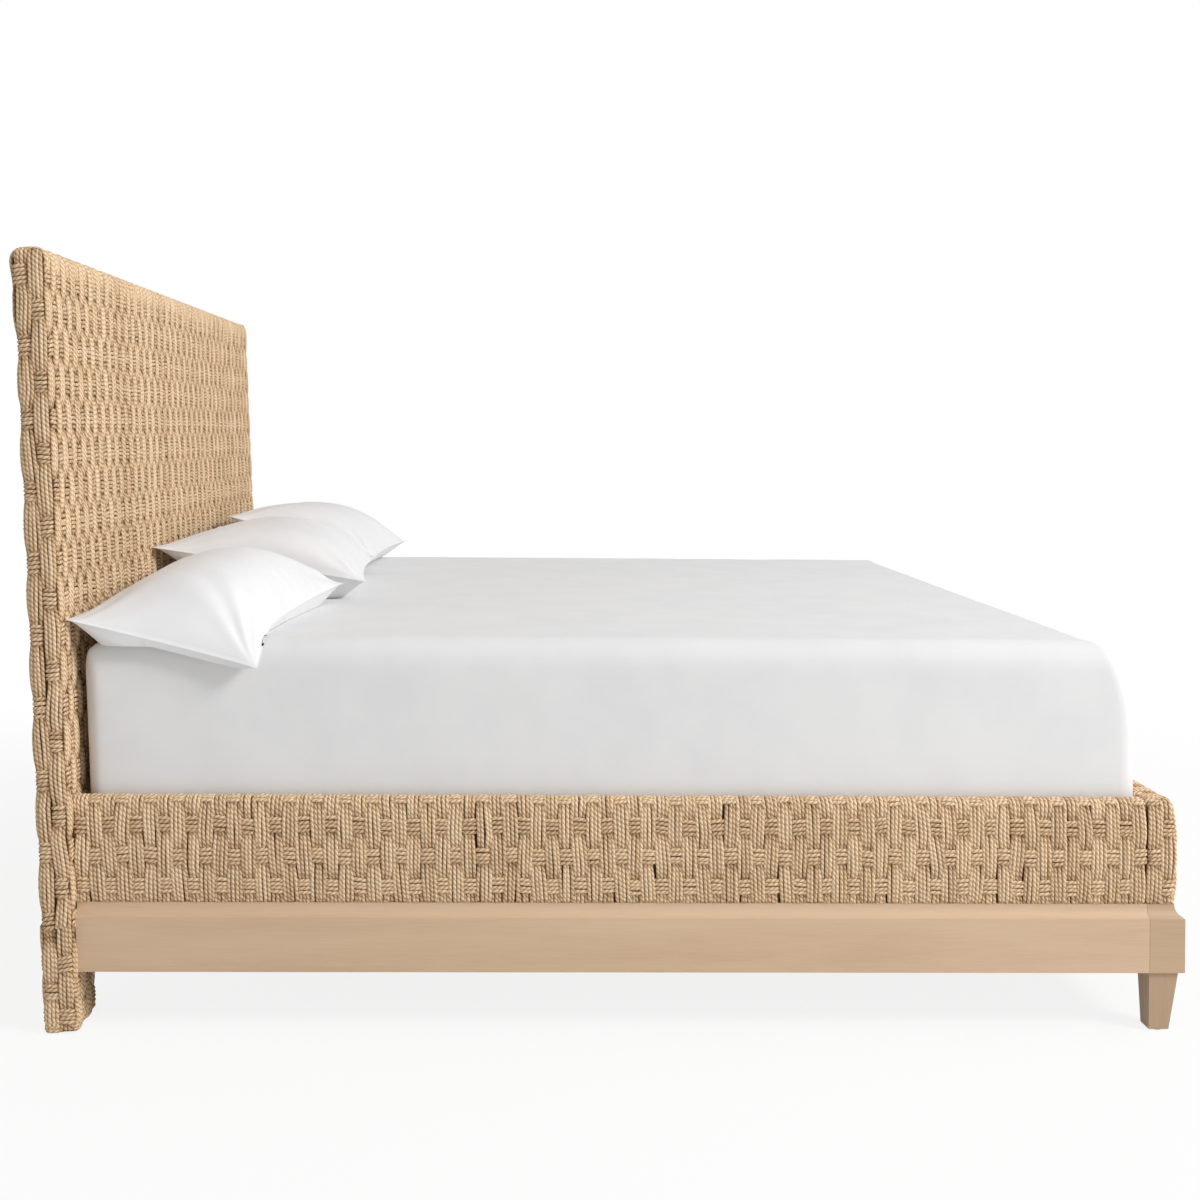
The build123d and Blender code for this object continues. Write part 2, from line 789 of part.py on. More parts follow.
def slat_screws():
    """One countersunk screw at each end of each slat."""
    x = rail_core_inner - ledger_width / 2
    screws = []
    for y in slat_places():
        for side in (-1, 1):
            head_base = slat_top_height - slat_screw_head_height
            head = rod_z(side * x, y, head_base, slat_top_height, slat_screw_head_radius)
            low = slat_top_height - slat_screw_length
            screws.append(head + rod_z(side * x, y, low, head_base, slat_screw_radius))
    return screws


def slat(y, fasteners):
    """One slat across the bed, with eased edges along its length."""
    half = rail_inner_face - slat_end_gap
    bar = block((-half, half), (y - slat_width / 2, y + slat_width / 2), (slat_base_height, slat_top_height))
    bar = fillet(bar.edges().filter_by(Axis.X), slat_edge_radius)
    near = [screw for screw in fasteners if abs(screw.center().Y - y) < slat_width / 2]
    return cut_by(bar, near)


# Bedding
def mattress_form(growth, base):
    """Mattress block grown by a margin: a long soft curve over its foot end, its head end along the rake."""
    half = mattress_width / 2 + growth
    foot = mattress_foot_y - growth
    head = mattress_head_y + growth
    top = mattress_base + mattress_height + growth
    edge = mattress_edge_radius
    lean = (top - edge - base) * rake_tan
    run, drop = mattress_foot_run, mattress_foot_drop
    foot_curve = EllipticalCenterArc((foot + run, top - drop), run, drop, start_angle=90, arc_size=90)
    outline = [
        Line((head - lean, base), (foot, base)),
        Line((foot, base), (foot, top - drop)),
        foot_curve,
        Line((foot + run, top), (head - edge, top)),
        RadiusArc((head - edge, top), (head, top - edge), edge),
        Line((head, top - edge), (head - lean, base)),
    ]
    return Pos(-half, 0, 0) * extrude(Plane.YZ * make_face(outline), 2 * half)


def mattress():
    """Mattress body, its long top edges and upright corners rounded inside the sheet."""
    top, radius = mattress_base + mattress_height, mattress_corner_radius
    middle_y = (mattress_foot_y + mattress_head_y) / 2
    plan = Pos(0, middle_y, mattress_base - trim_margin) * RectangleRounded(
        mattress_width, mattress_length, radius
    )
    start = Plane((0, mattress_head_y + trim_margin, top / 2), x_dir=(1, 0, 0), z_dir=(0, -1, 0))
    across = start * RectangleRounded(mattress_width, top, radius)
    rounded = extrude(plan, top) & extrude(across, mattress_length + 2 * trim_margin)
    return mattress_form(0, mattress_base) & rounded


def fitted_sheet():
    """Sheet over the top and round the sides of the mattress, open below."""
    hem = mattress_base + sheet_hem_rise
    outer = mattress_form(sheet_growth, hem)
    inner = mattress_form(sheet_clearance, hem - cut_past)
    return outer - inner


def pillow(stations):
    """Crowned pillow: lens sections along X, its ends drawn in, its underside pressed to the mattress."""
    sections = []
    for x, back, front, rise in stations:
        crown, belly = (
            [
                (
                    back[0] + share * (front[0] - back[0]),
                    back[1] + share * (front[1] - back[1]) + side * lift * rise,
                )
                for share, lift in zip(pillow_crown_shares, pillow_crown_lifts)
            ]
            for side in (1, -1)
        )
        lens = make_face([Bezier(back, *crown, front), Bezier(front, *reversed(belly), back)])
        sections.append(Plane((x, 0, 0), x_dir=(0, 1, 0), z_dir=(1, 0, 0)) * lens)
    form = loft(sections)
    for index, side in ((0, -1), (-1, 1)):
        x, back, front = stations[index][:3]
        half_side = abs(back[0] - front[0]) / 2
        radius = (half_side**2 + pillow_end_draw**2) / (2 * pillow_end_draw)
        centre = x + side * (radius - pillow_end_draw)
        form -= rod_z(centre, (back[0] + front[0]) / 2, mattress_base, head_height, radius)
    return form - mattress_form(sheet_growth + pillow_deck_gap, mattress_base)


def pillow_fullness(share):
    """How full a pillow is at a share of its length: nearly flat at the ends, puffing up quickly."""
    puff = (1 - abs(2 * share - 1) ** pillow_flatness_power) ** pillow_softness_power
    return max(pillow_end_fullness, puff)


def pillow_stations(x_span, back, front, rise, droop=0.0):
    """Sections from the -X end to the +X end; droop lowers the front corner at the -X end only."""
    back_ends = [against_headboard(height, pillow_head_gap + extra) for height, extra in back]
    front_ends = [(foot_inner_y + pillow_front_reach + reach, height) for reach, height in front]
    stations = []
    for share in pillow_shares:

        def between(low, high):
            return low + share * (high - low)

        bow = pillow_seam_draw * (1 - (2 * share - 1) ** 2)
        sag = droop * max(0, 1 - share / pillow_droop_share) ** pillow_droop_power
        back_y, back_z = (between(*pair) for pair in zip(*back_ends))
        front_y, front_z = (between(*pair) for pair in zip(*front_ends))
        back_seam = (back_y - bow, back_z)
        front_seam = (front_y + bow, front_z - sag)
        stations.append((between(*x_span), back_seam, front_seam, pillow_fullness(share) * rise))
    return stations


def against_headboard(height, gap):
    """A seam point that stands off the headboard's face."""
    return (head_face_y(height) - gap, height)


def write_nodes(nodes):
    """Write one STEP file per node."""
    os.makedirs("parts", exist_ok=True)
    for name, shape in nodes.items():
        export_step(shape, f"parts/{name}.step")


def build_headboard():
    """All pieces of the headboard."""
    dowels = headboard_dowels()
    bolts = bracket_bolts()
    side_bolts = bolts + [mirrored(bolt) for bolt in bolts]
    screws = hanger_screws()
    right_post = post(dowels + bolts)
    wrap = leg_wrap()
    return {
        "headboard_post_right": right_post,
        "headboard_post_left": mirrored(right_post),
        "headboard_top_rail": cross_rail(top_rail_span, dowels),
        "headboard_mid_rail": cross_rail(mid_rail_span, dowels),
        "headboard_lower_rail": cross_rail(lower_rail_span, dowels + screws),
        "headboard_centre_stile": centre_stile(),
        "headboard_front_panel": plywood_skin((core_front, stuffing_front), screws),
        "headboard_back_panel": plywood_skin((stuffing_back, core_back), []),
        "headboard_dowels": joined([raked(dowel) for dowel in dowels]),
        "headboard_weave": headboard_weave(side_bolts + screws),
        "headboard_leg_wrap_right": wrap,
        "headboard_leg_wrap_left": mirrored(wrap),
        "headboard_glides": joined([head_glide(), mirrored(head_glide())]),
    }


def build_rails(rail_screws):
    """Both side rails with their weave, plinth, ledgers and screws."""
    screws = ledger_screws()
    core = side_rail_core(screws + rail_screws)
    cover = side_weave()
    plinth = side_plinth()
    strip = ledger(screws + slat_screws())
    return {
        "side_rail_right": core,
        "side_rail_left": mirrored(core),
        "side_weave_right": cover,
        "side_weave_left": mirrored(cover),
        "side_plinth_right": plinth,
        "side_plinth_left": mirrored(plinth),
        "ledger_right": strip,
        "ledger_left": mirrored(strip),
        "ledger_screws": joined(screws + [mirrored(screw) for screw in screws]),
    }


def build_foot(foot_bolts, screws):
    """Foot board, weave, plinth, corner blocks, legs and glides."""
    dowels = corner_dowels()
    all_dowels = dowels + [mirrored(dowel) for dowel in dowels]
    bolt = hanger_bolt()
    corner = corner_block(dowels + [bolt])
    leg = foot_leg([bolt])
    return {
        "foot_rail": foot_core(all_dowels + foot_bolts + screws),
        "foot_weave": foot_weave(),
        "foot_plinth": foot_plinth(),
        "corner_block_right": corner,
        "corner_block_left": mirrored(corner),
        "corner_dowels": joined(all_dowels),
        "foot_leg_right": leg,
        "foot_leg_left": mirrored(leg),
        "leg_hanger_bolts": joined([bolt, mirrored(bolt)]),
        "foot_glides": joined([foot_glide(), mirrored(foot_glide())]),
    }


def build_support(screws_foot):
    """Centre beam, hangers, legs, plates, inserts and levelers."""
    plate_screws = [screw for y in centre_leg_places for screw in leg_plate_screws(y)]
    head_screws = [raked(screw) for screw in hanger_screws()]
    nodes = {
        "centre_beam": centre_beam(plate_screws),
        "beam_hangers": joined([foot_hanger(), head_hanger()]),
        "hanger_screws": joined(head_screws + screws_foot),
        "leg_plates": joined([leg_plate(y) for y in centre_leg_places]),
        "leg_plate_screws": joined(plate_screws),
        "leveler_inserts": joined([leveler_insert(y) for y in centre_leg_places]),
    }
    for index, y in enumerate(centre_leg_places, start=1):
        nodes[f"centre_leg_{index}"] = centre_leg(y)
        nodes[f"leveler_{index}"] = leveler(y)
    return nodes


def build_bedding():
    """Mattress, sheet and three pillows."""
    near_start = -mattress_width / 2 - near_pillow_overhang
    near_span = (near_start, near_start + near_pillow_length)
    middle_start = near_span[1] + middle_pillow_gap
    middle_span = (middle_start, middle_start + middle_pillow_length)
    far_start = middle_span[1] + far_pillow_gap
    far_span = (far_start, far_start + far_pillow_length)
    near = pillow_stations(
        near_span, near_pillow_back, near_pillow_front, near_pillow_rise, near_pillow_droop
    )
    middle = pillow_stations(middle_span, middle_pillow_back, middle_pillow_front, middle_pillow_rise)
    far = pillow_stations(far_span, far_pillow_back, far_pillow_front, far_pillow_rise)
    return {
        "mattress": mattress(),
        "fitted_sheet": fitted_sheet(),
        "pillow_near": pillow(near),
        "pillow_middle": pillow(middle),
        "pillow_far": pillow(far),
    }


def build_bed():
    """Every node of the bed."""
    head_bolts = [raked(bolt) for bolt in bracket_bolts()]
    head_rail_screws = [raked(screw) for screw in bracket_screws()]
    foot_bolts = [at_foot(bolt) for bolt in bracket_bolts()]
    foot_rail_screws = [at_foot(screw) for screw in bracket_screws()]
    foot_screws = [at_foot(screw) for screw in hanger_screws()]
    foot_bolts_both = foot_bolts + [mirrored(bolt) for bolt in foot_bolts]
    rail_screws = head_rail_screws + foot_rail_screws
    head_angle = raked(corner_bracket())
    foot_angle = at_foot(corner_bracket())
    deck_screws = slat_screws()
    nodes = {}
    nodes.update(build_headboard())
    nodes.update(build_rails(rail_screws))
    nodes.update(build_foot(foot_bolts_both, foot_screws))
    nodes.update(build_support(foot_screws))
    nodes["head_brackets"] = joined([head_angle, mirrored(head_angle)])
    nodes["foot_brackets"] = joined([foot_angle, mirrored(foot_angle)])
    nodes["bracket_bolts"] = joined(
        head_bolts + foot_bolts + [mirrored(bolt) for bolt in head_bolts + foot_bolts]
    )
    nodes["bracket_screws"] = joined(rail_screws + [mirrored(screw) for screw in rail_screws])
    nodes["slats"] = joined([slat(y, deck_screws) for y in slat_places()])
    nodes["slat_screws"] = joined(deck_screws)
    nodes.update(build_bedding())
    return nodes


write_nodes(build_bed())
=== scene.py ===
"""Looks of a king bed wrapped in woven rope: rope weave, washed wood, mattress, sheet and pillows.

Metres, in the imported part's own frame: +Z up, +Y towards the head, -X towards the camera.
"""

import math

import bmesh
import bpy
import numpy as np
from mathutils import Matrix, Vector


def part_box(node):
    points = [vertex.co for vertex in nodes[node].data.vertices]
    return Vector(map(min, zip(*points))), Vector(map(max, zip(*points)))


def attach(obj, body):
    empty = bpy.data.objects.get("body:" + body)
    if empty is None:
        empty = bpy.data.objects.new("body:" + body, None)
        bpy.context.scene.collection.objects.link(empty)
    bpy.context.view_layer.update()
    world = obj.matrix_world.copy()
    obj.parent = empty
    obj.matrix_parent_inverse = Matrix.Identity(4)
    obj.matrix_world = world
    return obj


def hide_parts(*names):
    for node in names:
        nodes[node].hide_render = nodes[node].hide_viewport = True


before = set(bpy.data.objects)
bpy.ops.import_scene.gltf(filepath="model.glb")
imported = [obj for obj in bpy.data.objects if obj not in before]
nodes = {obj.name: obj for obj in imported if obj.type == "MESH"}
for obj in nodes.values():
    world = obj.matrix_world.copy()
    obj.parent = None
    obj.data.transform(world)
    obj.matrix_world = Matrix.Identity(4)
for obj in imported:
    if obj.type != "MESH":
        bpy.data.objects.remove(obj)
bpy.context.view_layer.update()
random = np.random.default_rng(7)

# Rope
strands_per_bundle = 4
strand_radius = 0.0038
strand_sides = 6
strand_spacing = 0.0071
strand_step = 0.0075
twist_pitch = 0.0095
over_lift = -0.0009
under_lift = -0.0062
squeeze = 0.06
strand_jitter = 0.0007
bundle_drift = 0.0018
float_fullness = 0.4
top_swell = 0.002
upright_edge_drop = 0.0004
level_edge_drop = 0.0003
upright_sharpness = 0.75
level_sharpness = 0.45
level_step = strand_step * 0.7
level_squeeze = 1.5 * squeeze
# Painted shade: a fixed darkening of all level rows of rope
level_painted_shade = 0.12
# Painted shade: how far a strand sinks before it darkens, and over what further sinking it reaches
# full darkness
painted_shade_start = 0.0012
painted_shade_range = 0.005

# Headboard, in its upright frame before it is raked
head_rake = math.radians(2.79)
head_thickness = 0.063
head_flare = 0.007
head_flare_length = 0.190
head_top_radius = 0.024
head_side_radius = 0.013
head_lower_edge = 0.200
head_leg_width = 0.132
head_bundles = 68
head_row_pitch = 0.068
head_first_row = 0.050
head_upright_spacing = 0.0061
# Painted shade: how much more strongly the headboard's level rows darken where they sink under the
# uprights
head_row_painted_shade = 3.2
head_row_strands = 5
head_row_spacing = 0.0074
head_under_lift = -0.0092
head_pieces = 8
side_bundles = 2
side_top_gap = 0.001
side_turn_radius = 0.012
side_turn_in = 0.010
calm_reach = 0.7
calm_share = 0.25
leg_row_pitch = 0.050
leg_bundles = 4
leg_floor_gap = 0.002
leg_overlap = 0.004
leg_lowest_row = 0.004

# Rails
rail_bundles = 78
rail_row_pitch = 0.0575
rail_first_row = 0.0327
rail_top_radius = 0.016
rail_inner_radius = 0.006
rail_return = 0.046
rail_head_gap = 0.001
rail_bulge = 0.006
foot_bundles = 74
foot_row_count = 4
foot_end_width = 0.045
foot_end_return = 0.007
foot_corner_radius = 0.014

# Pillows and bedding
pillow_cells = 110
edge_turn = math.pi / 2 * 0.94
pillow_head_gap = 0.005
pillow_front_reach = 1.576
pillow_seam_draw = 0.017
pillow_end_draw = 0.014
crown_shares = (0.30, 0.80)
belly_power = 7.0
belly_lifts = (1.5, 1.6)
seam_width = 0.003
edge_hang = 0.014
droop_share = 0.2
fold_count = 13
fold_reach = 0.12
fold_height = 0.012
scallop_length = 0.052
scallop_height = 0.0022
scallop_reach = 0.035
scallop_clearance = 0.012
broad_height = 0.003
pillow_crease = math.radians(38)
sheet_gap = 0.0006
sheet_thickness = 0.0015
mattress_side_radius = 0.050
mattress_head_radius = 0.060
mattress_corner_radius = 0.030
mattress_foot_run = 0.095
mattress_foot_drop = 0.180
mattress_foot_ease = 2.2
mattress_head_ease = 0.4

# Floor and light
floor_half = 14.0
floor_colour = (0.86, 0.86, 0.86, 1)
floor_glow = 0.86
floor_fade = (1.4, 3.6)
world_light = 0.52
key_place = (-3.85, -6.5, 5.5)
key_target = (0, 0.2, 0.6)
key_size = 2.4
key_power = 540

# Camera, fitted to the photograph: the centre of view in pixels of a 1200 pixel frame
image_size = 1200
view_centre = (547, 436)
focal_pixels = 1487.6
sensor_width = 36.0
camera_place = (-3.8392, 0.1602, 1.1389)
camera_yaw = -0.0186
camera_pitch = 0.0026
camera_roll = 0.008


# Materials
def new_material(name):
    """A node material with its tree and Principled shader."""
    material = bpy.data.materials.new(name)
    material.use_nodes = True
    tree = material.node_tree
    shader = next(n for n in tree.nodes if n.type == "BSDF_PRINCIPLED")
    return material, tree, shader


def feed(tree, target, inputs):
    """Link or fill inputs of a node."""
    for key, value in inputs.items():
        if isinstance(value, bpy.types.NodeSocket):
            tree.links.new(value, target.inputs[key])
        else:
            target.inputs[key].default_value = value


def node(tree, kind, inputs=None, **settings):
    """Add one node, set its properties and link or fill its inputs."""
    made = tree.nodes.new(kind)
    for key, value in settings.items():
        setattr(made, key, value)
    feed(tree, made, inputs or {})
    return made


def math_node(tree, operation, *values):
    """Output socket of one arithmetic node."""
    made = node(tree, "ShaderNodeMath", dict(enumerate(values)), operation=operation)
    return made.outputs[0]


def weighted(tree, base, *parts):
    """A base value plus the product of each (source, share) pair."""
    value = base
    for source, share in parts:
        value = math_node(tree, "ADD", value, math_node(tree, "MULTIPLY", source, share))
    return value


def object_place(tree):
    """The object's own coordinates."""
    return node(tree, "ShaderNodeTexCoord").outputs["Object"]


def noise(tree, place, scale, detail, roughness=0.5, distortion=0.0):
    """Value of a noise texture."""
    inputs = {"Vector": place, "Scale": scale, "Detail": detail}
    inputs.update({"Roughness": roughness, "Distortion": distortion})
    return node(tree, "ShaderNodeTexNoise", inputs).outputs["Fac"]


def bumped(tree, height, strength, distance):
    """Normal of a surface with fine relief."""
    inputs = {"Height": height, "Strength": strength, "Distance": distance}
    return node(tree, "ShaderNodeBump", inputs).outputs["Normal"]


def colour_ramp(tree, factor, stops):
    """A colour ramp through (position, colour) stops."""
    made = node(tree, "ShaderNodeValToRGB", {"Fac": factor})
    ramp = made.color_ramp
    while len(ramp.elements) < len(stops):
        ramp.elements.new(0.5)
    for element, (position, colour) in zip(ramp.elements, stops):
        element.position = position
        element.color = (*colour, 1)
    return made.outputs["Color"]


def srgb(red, green, blue):
    """An 8-bit display colour as linear values."""
    shares = (value / 255 for value in (red, green, blue))
    return tuple(
        share / 12.92 if share <= 0.04045 else ((share + 0.055) / 1.055) ** 2.4 for share in shares
    )


def toned(tree, value, positions, tones):
    """A colour ramp through display colours, from dark to light."""
    stops = [(position, srgb(*tone)) for position, tone in zip(positions, tones)]
    return colour_ramp(tree, value, stops)


def rope_material(name, tones):
    """Twisted plant-fibre rope: wound plies, stray fibres and a tone for each strand, with painted
    shade in the ply grooves, on each strand's inward face and where strands sink into the weave.
    """
    material, tree, shader = new_material(name)
    uv = node(tree, "ShaderNodeUVMap", uv_map="Strand").outputs["UV"]
    axes = node(tree, "ShaderNodeSeparateXYZ", {"Vector": uv}).outputs
    turns = weighted(tree, math_node(tree, "DIVIDE", axes["Y"], twist_pitch), (axes["X"], 2.0))
    # Painted shade: the ply wave darkens the grooves between plies, and it also gives their relief
    ply_relief_and_shade = math_node(tree, "SINE", math_node(tree, "MULTIPLY", turns, math.pi))
    ply_relief_and_shade = math_node(tree, "POWER", math_node(tree, "ABSOLUTE", ply_relief_and_shade), 0.55)
    # Painted shade: each strand is lighter on its outward face and darker on its inward face
    painted_strand_shading = math_node(tree, "COSINE", math_node(tree, "MULTIPLY", axes["X"], 2 * math.pi))
    place = object_place(tree)
    fibres = noise(tree, place, 900.0, 3.0, 0.65)
    patches = noise(tree, place, 26.0, 3.0, 0.6)
    tone = node(tree, "ShaderNodeAttribute", attribute_name="tone").outputs["Fac"]
    # Painted shade: depth darkens strands where they sink into the weave
    depth = node(tree, "ShaderNodeAttribute", attribute_name="depth").outputs["Fac"]
    value = weighted(
        tree,
        -0.36,
        (ply_relief_and_shade, 0.46),
        (painted_strand_shading, 0.20),
        (depth, -0.50),
        (fibres, 0.40),
        (patches, 0.30),
        (tone, 0.24),
    )
    looks = {
        "Base Color": toned(tree, value, (0.04, 0.44, 0.82), tones),
        "Normal": bumped(tree, weighted(tree, ply_relief_and_shade, (fibres, 0.45)), 0.9, 0.0018),
        "Roughness": weighted(tree, 0.68, (fibres, 0.2)),
        "Specular IOR Level": 0.25,
    }
    feed(tree, shader, looks)
    return material


def wood_material(name, grain_axis, tones):
    """Wood with long soft streaks and fine pores along one axis."""
    material, tree, shader = new_material(name)
    place = object_place(tree)

    def stretched(along, across):
        scale = [along if axis == grain_axis else across for axis in range(3)]
        return node(tree, "ShaderNodeMapping", {"Vector": place, "Scale": scale}).outputs["Vector"]

    streaks = noise(tree, stretched(1.4, 17.0), 1.0, 6.0, 0.62, 0.5)
    pores = noise(tree, stretched(14.0, 620.0), 1.0, 4.0, 0.7)
    value = weighted(tree, 0.0, (streaks, 0.6), (pores, 0.4))
    looks = {
        "Base Color": toned(tree, value, (0.28, 0.50, 0.74), tones),
        "Normal": bumped(tree, pores, 0.25, 0.0004),
        "Roughness": weighted(tree, 0.44, (pores, 0.16)),
    }
    feed(tree, shader, looks)
    return material


def woods(name, tones, axes=(0, 1, 2)):
    """One wood material for each direction of the grain."""
    return {axis: wood_material(f"{name} {axis}", axis, tones) for axis in axes}


def cloth_material(name, tones, threads=1900.0):
    """Plain cotton: fine crossed threads and a trace of unevenness."""
    material, tree, shader = new_material(name)
    place = object_place(tree)
    axes = node(tree, "ShaderNodeSeparateXYZ", {"Vector": place}).outputs
    turn = threads * 2 * math.pi / 3
    lines = [
        math_node(tree, "SINE", math_node(tree, "MULTIPLY", axes[axis], turn)) for axis in "XYZ"
    ]
    weave = weighted(tree, lines[2], (lines[0], lines[1]))
    looks = {
        "Base Color": toned(tree, noise(tree, place, 9.0, 4.0, 0.55), (0.30, 0.62), tones),
        "Normal": bumped(tree, weave, 0.12, 0.0003),
        "Roughness": 0.86,
        "Sheen Weight": 0.18,
        "Sheen Roughness": 0.5,
        "Specular IOR Level": 0.2,
    }
    feed(tree, shader, looks)
    return material


def metal_material(name, colour, roughness):
    """Plated steel with faint drawn marks."""
    material, tree, shader = new_material(name)
    marks = noise(tree, object_place(tree), 160.0, 3.0, 0.6)
    dim = tuple(value * 0.82 for value in colour)
    looks = {
        "Base Color": colour_ramp(tree, marks, [(0.3, dim), (0.7, colour)]),
        "Roughness": weighted(tree, roughness - 0.1, (marks, 0.2)),
        "Metallic": 1.0,
    }
    feed(tree, shader, looks)
    return material


def nylon_material(name, colour):
    """Dark moulded nylon."""
    material, tree, shader = new_material(name)
    grain = noise(tree, object_place(tree), 700.0, 2.0)
    pale = tuple(value * 1.6 for value in colour)
    looks = {
        "Base Color": colour_ramp(tree, grain, [(0.35, colour), (0.75, pale)]),
        "Roughness": 0.55,
    }
    feed(tree, shader, looks)
    return material


rope = rope_material("Rope", ((98, 66, 38), (203, 168, 129), (246, 218, 182)))
washed = woods("Washed wood", ((197, 166, 135), (210, 180, 149), (218, 191, 161)), (0, 1))
washed_block = wood_material(
    "Washed block wood", 1, ((180, 151, 121), (194, 165, 135), (203, 175, 145))
)
washed_leg = wood_material(
    "Washed leg wood", 2, ((167, 139, 111), (180, 152, 123), (189, 162, 133))
)
# Painted shade: boards hidden behind the rope are dark brown so that the gaps in the weave read as
# shade
painted_shade_board = woods("Painted shade board", ((72, 50, 32), (90, 65, 43), (104, 77, 52)))
pine = woods("Pine", ((196, 162, 118), (218, 186, 143), (230, 202, 164)))
beech = wood_material("Beech dowel", 0, ((196, 158, 120), (212, 176, 138), (224, 190, 154)))
sheet_cotton = cloth_material("Sheet cotton", ((229, 229, 230), (233, 233, 233)))
pillow_cotton = cloth_material("Pillowcase cotton", ((234, 234, 236), (238, 238, 239)))
ticking = cloth_material("Mattress ticking", ((216, 214, 208), (226, 224, 219)), 900.0)
zinc = metal_material("Zinc steel", (0.62, 0.62, 0.60), 0.38)
leveler_steel = metal_material("Leveler steel", (0.45, 0.45, 0.45), 0.34)
nylon = nylon_material("Dark nylon", (0.05, 0.045, 0.04))


def dress(material, *names):
    """Give CAD nodes one material."""
    for name in names:
        nodes[name].data.materials.clear()
        nodes[name].data.materials.append(material)


def dress_frame():
    """Materials of the CAD nodes that stay in view."""
    dress(washed[1], "side_plinth_left", "side_plinth_right")
    dress(washed_block, "corner_block_left", "corner_block_right")
    dress(washed[0], "foot_plinth")
    dress(washed_leg, "foot_leg_left", "foot_leg_right")
    # Painted shade: the rails and headboard boards behind the rope take the dark board colour
    dress(painted_shade_board[1], "side_rail_left", "side_rail_right")
    dress(painted_shade_board[0], "foot_rail")
    dress(painted_shade_board[0], "headboard_top_rail", "headboard_mid_rail", "headboard_lower_rail")
    dress(
        painted_shade_board[2],
        "headboard_post_left",
        "headboard_post_right",
        "headboard_front_panel",
        "headboard_back_panel",
        "headboard_centre_stile",
    )
    dress(pine[1], "ledger_left", "ledger_right", "centre_beam")
    dress(pine[0], "slats")
    dress(pine[2], "centre_leg_1", "centre_leg_2", "centre_leg_3")
    dress(beech, "headboard_dowels", "corner_dowels")
    dress(
        zinc,
        "leg_hanger_bolts",
        "beam_hangers",
        "hanger_screws",
        "leg_plates",
        "leg_plate_screws",
        "leveler_inserts",
        "head_brackets",
        "foot_brackets",
        "bracket_bolts",
        "bracket_screws",
        "slat_screws",
        "ledger_screws",
    )
    dress(leveler_steel, "leveler_1", "leveler_2", "leveler_3")
    dress(nylon, "headboard_glides", "foot_glides")


# Meshes from arrays
def mesh_object(name, points, faces, material, smooth=True):
    """An object from an (n, 3) array of points and a list of equal-sided face arrays."""
    mesh = bpy.data.meshes.new(name)
    loops = np.concatenate([np.asarray(group).ravel() for group in faces])
    sizes = np.concatenate([np.full(len(group), np.asarray(group).shape[1]) for group in faces])
    mesh.vertices.add(len(points))
    mesh.vertices.foreach_set("co", np.asarray(points, np.float32).ravel())
    mesh.loops.add(len(loops))
    mesh.loops.foreach_set("vertex_index", loops.astype(np.int32))
    mesh.polygons.add(len(sizes))
    mesh.polygons.foreach_set("loop_start", (np.cumsum(sizes) - sizes).astype(np.int32))
    mesh.polygons.foreach_set("use_smooth", np.full(len(sizes), smooth))
    mesh.update(calc_edges=True)
    mesh.materials.append(material)
    made = bpy.data.objects.new(name, mesh)
    bpy.context.scene.collection.objects.link(made)
    return made


def unit(vectors):
    """Vectors scaled to length 1 along the last axis."""
    return vectors / np.maximum(np.linalg.norm(vectors, axis=-1, keepdims=True), 1e-12)


def rope_strands(name, centres, normals, depth, closed=False):
    """Round strands through (strand, point, 3) centres, with a UV map, a tone for each and a depth
    that paints shade where strands sink.
    """
    count, length, _ = centres.shape
    if closed:
        tangents = np.roll(centres, -1, 1) - np.roll(centres, 1, 1)
    else:
        tangents = np.gradient(centres, axis=1)
    tangents = unit(tangents)
    outward = unit(normals - (normals * tangents).sum(-1, keepdims=True) * tangents)
    sideways = np.cross(tangents, outward)
    angles = np.arange(strand_sides) * 2 * math.pi / strand_sides
    ring = np.cos(angles)[:, None] * outward[:, :, None]
    ring = ring + np.sin(angles)[:, None] * sideways[:, :, None]
    points = (centres[:, :, None] + strand_radius * ring).reshape(-1, 3)

    spans = length if closed else length - 1
    strand = np.arange(count)[:, None, None] * length * strand_sides
    here = np.arange(spans)[None, :, None] * strand_sides
    after = (np.arange(spans) + 1)[None, :, None] % length * strand_sides
    side = np.arange(strand_sides)[None, None, :]
    next_side = (side + 1) % strand_sides
    corners = [here + side, here + next_side, after + next_side, after + side]
    faces = [np.stack([strand + corner for corner in corners], -1).reshape(-1, 4)]
    if not closed:
        first = strand[:, 0] + np.arange(strand_sides)[::-1]
        last = strand[:, 0] + (length - 1) * strand_sides + np.arange(strand_sides)
        faces += [first, last]
    made = mesh_object(name, points, faces, rope)

    steps = np.linalg.norm(np.diff(centres, axis=1, append=centres[:, :1]), axis=-1)
    along = np.concatenate([np.zeros((count, 1)), np.cumsum(steps, 1)], 1)
    along = along + random.uniform(0, 1, (count, 1))
    low = np.broadcast_to(along[:, :spans, None], (count, spans, strand_sides))
    high = np.broadcast_to(along[:, 1 : spans + 1, None], (count, spans, strand_sides))
    left = np.broadcast_to(side / strand_sides, (count, spans, strand_sides))
    right = left + 1 / strand_sides
    uv = np.stack([left, low, right, low, right, high, left, high], -1).reshape(-1, 2)
    if not closed:
        uv = np.concatenate([uv, np.zeros((2 * count * strand_sides, 2))])
    layer = made.data.uv_layers.new(name="Strand")
    layer.uv.foreach_set("vector", uv.astype(np.float32).ravel())
    tones = np.repeat(random.uniform(0, 1, count), length * strand_sides)
    # Painted shade: the depth attribute darkens strands where they sink under crossing strands
    for label, values in (("tone", tones), ("depth", np.repeat(depth.ravel(), strand_sides))):
        attribute = made.data.attributes.new(label, "FLOAT", "POINT")
        attribute.data.foreach_set("value", values.astype(np.float32))
    return made


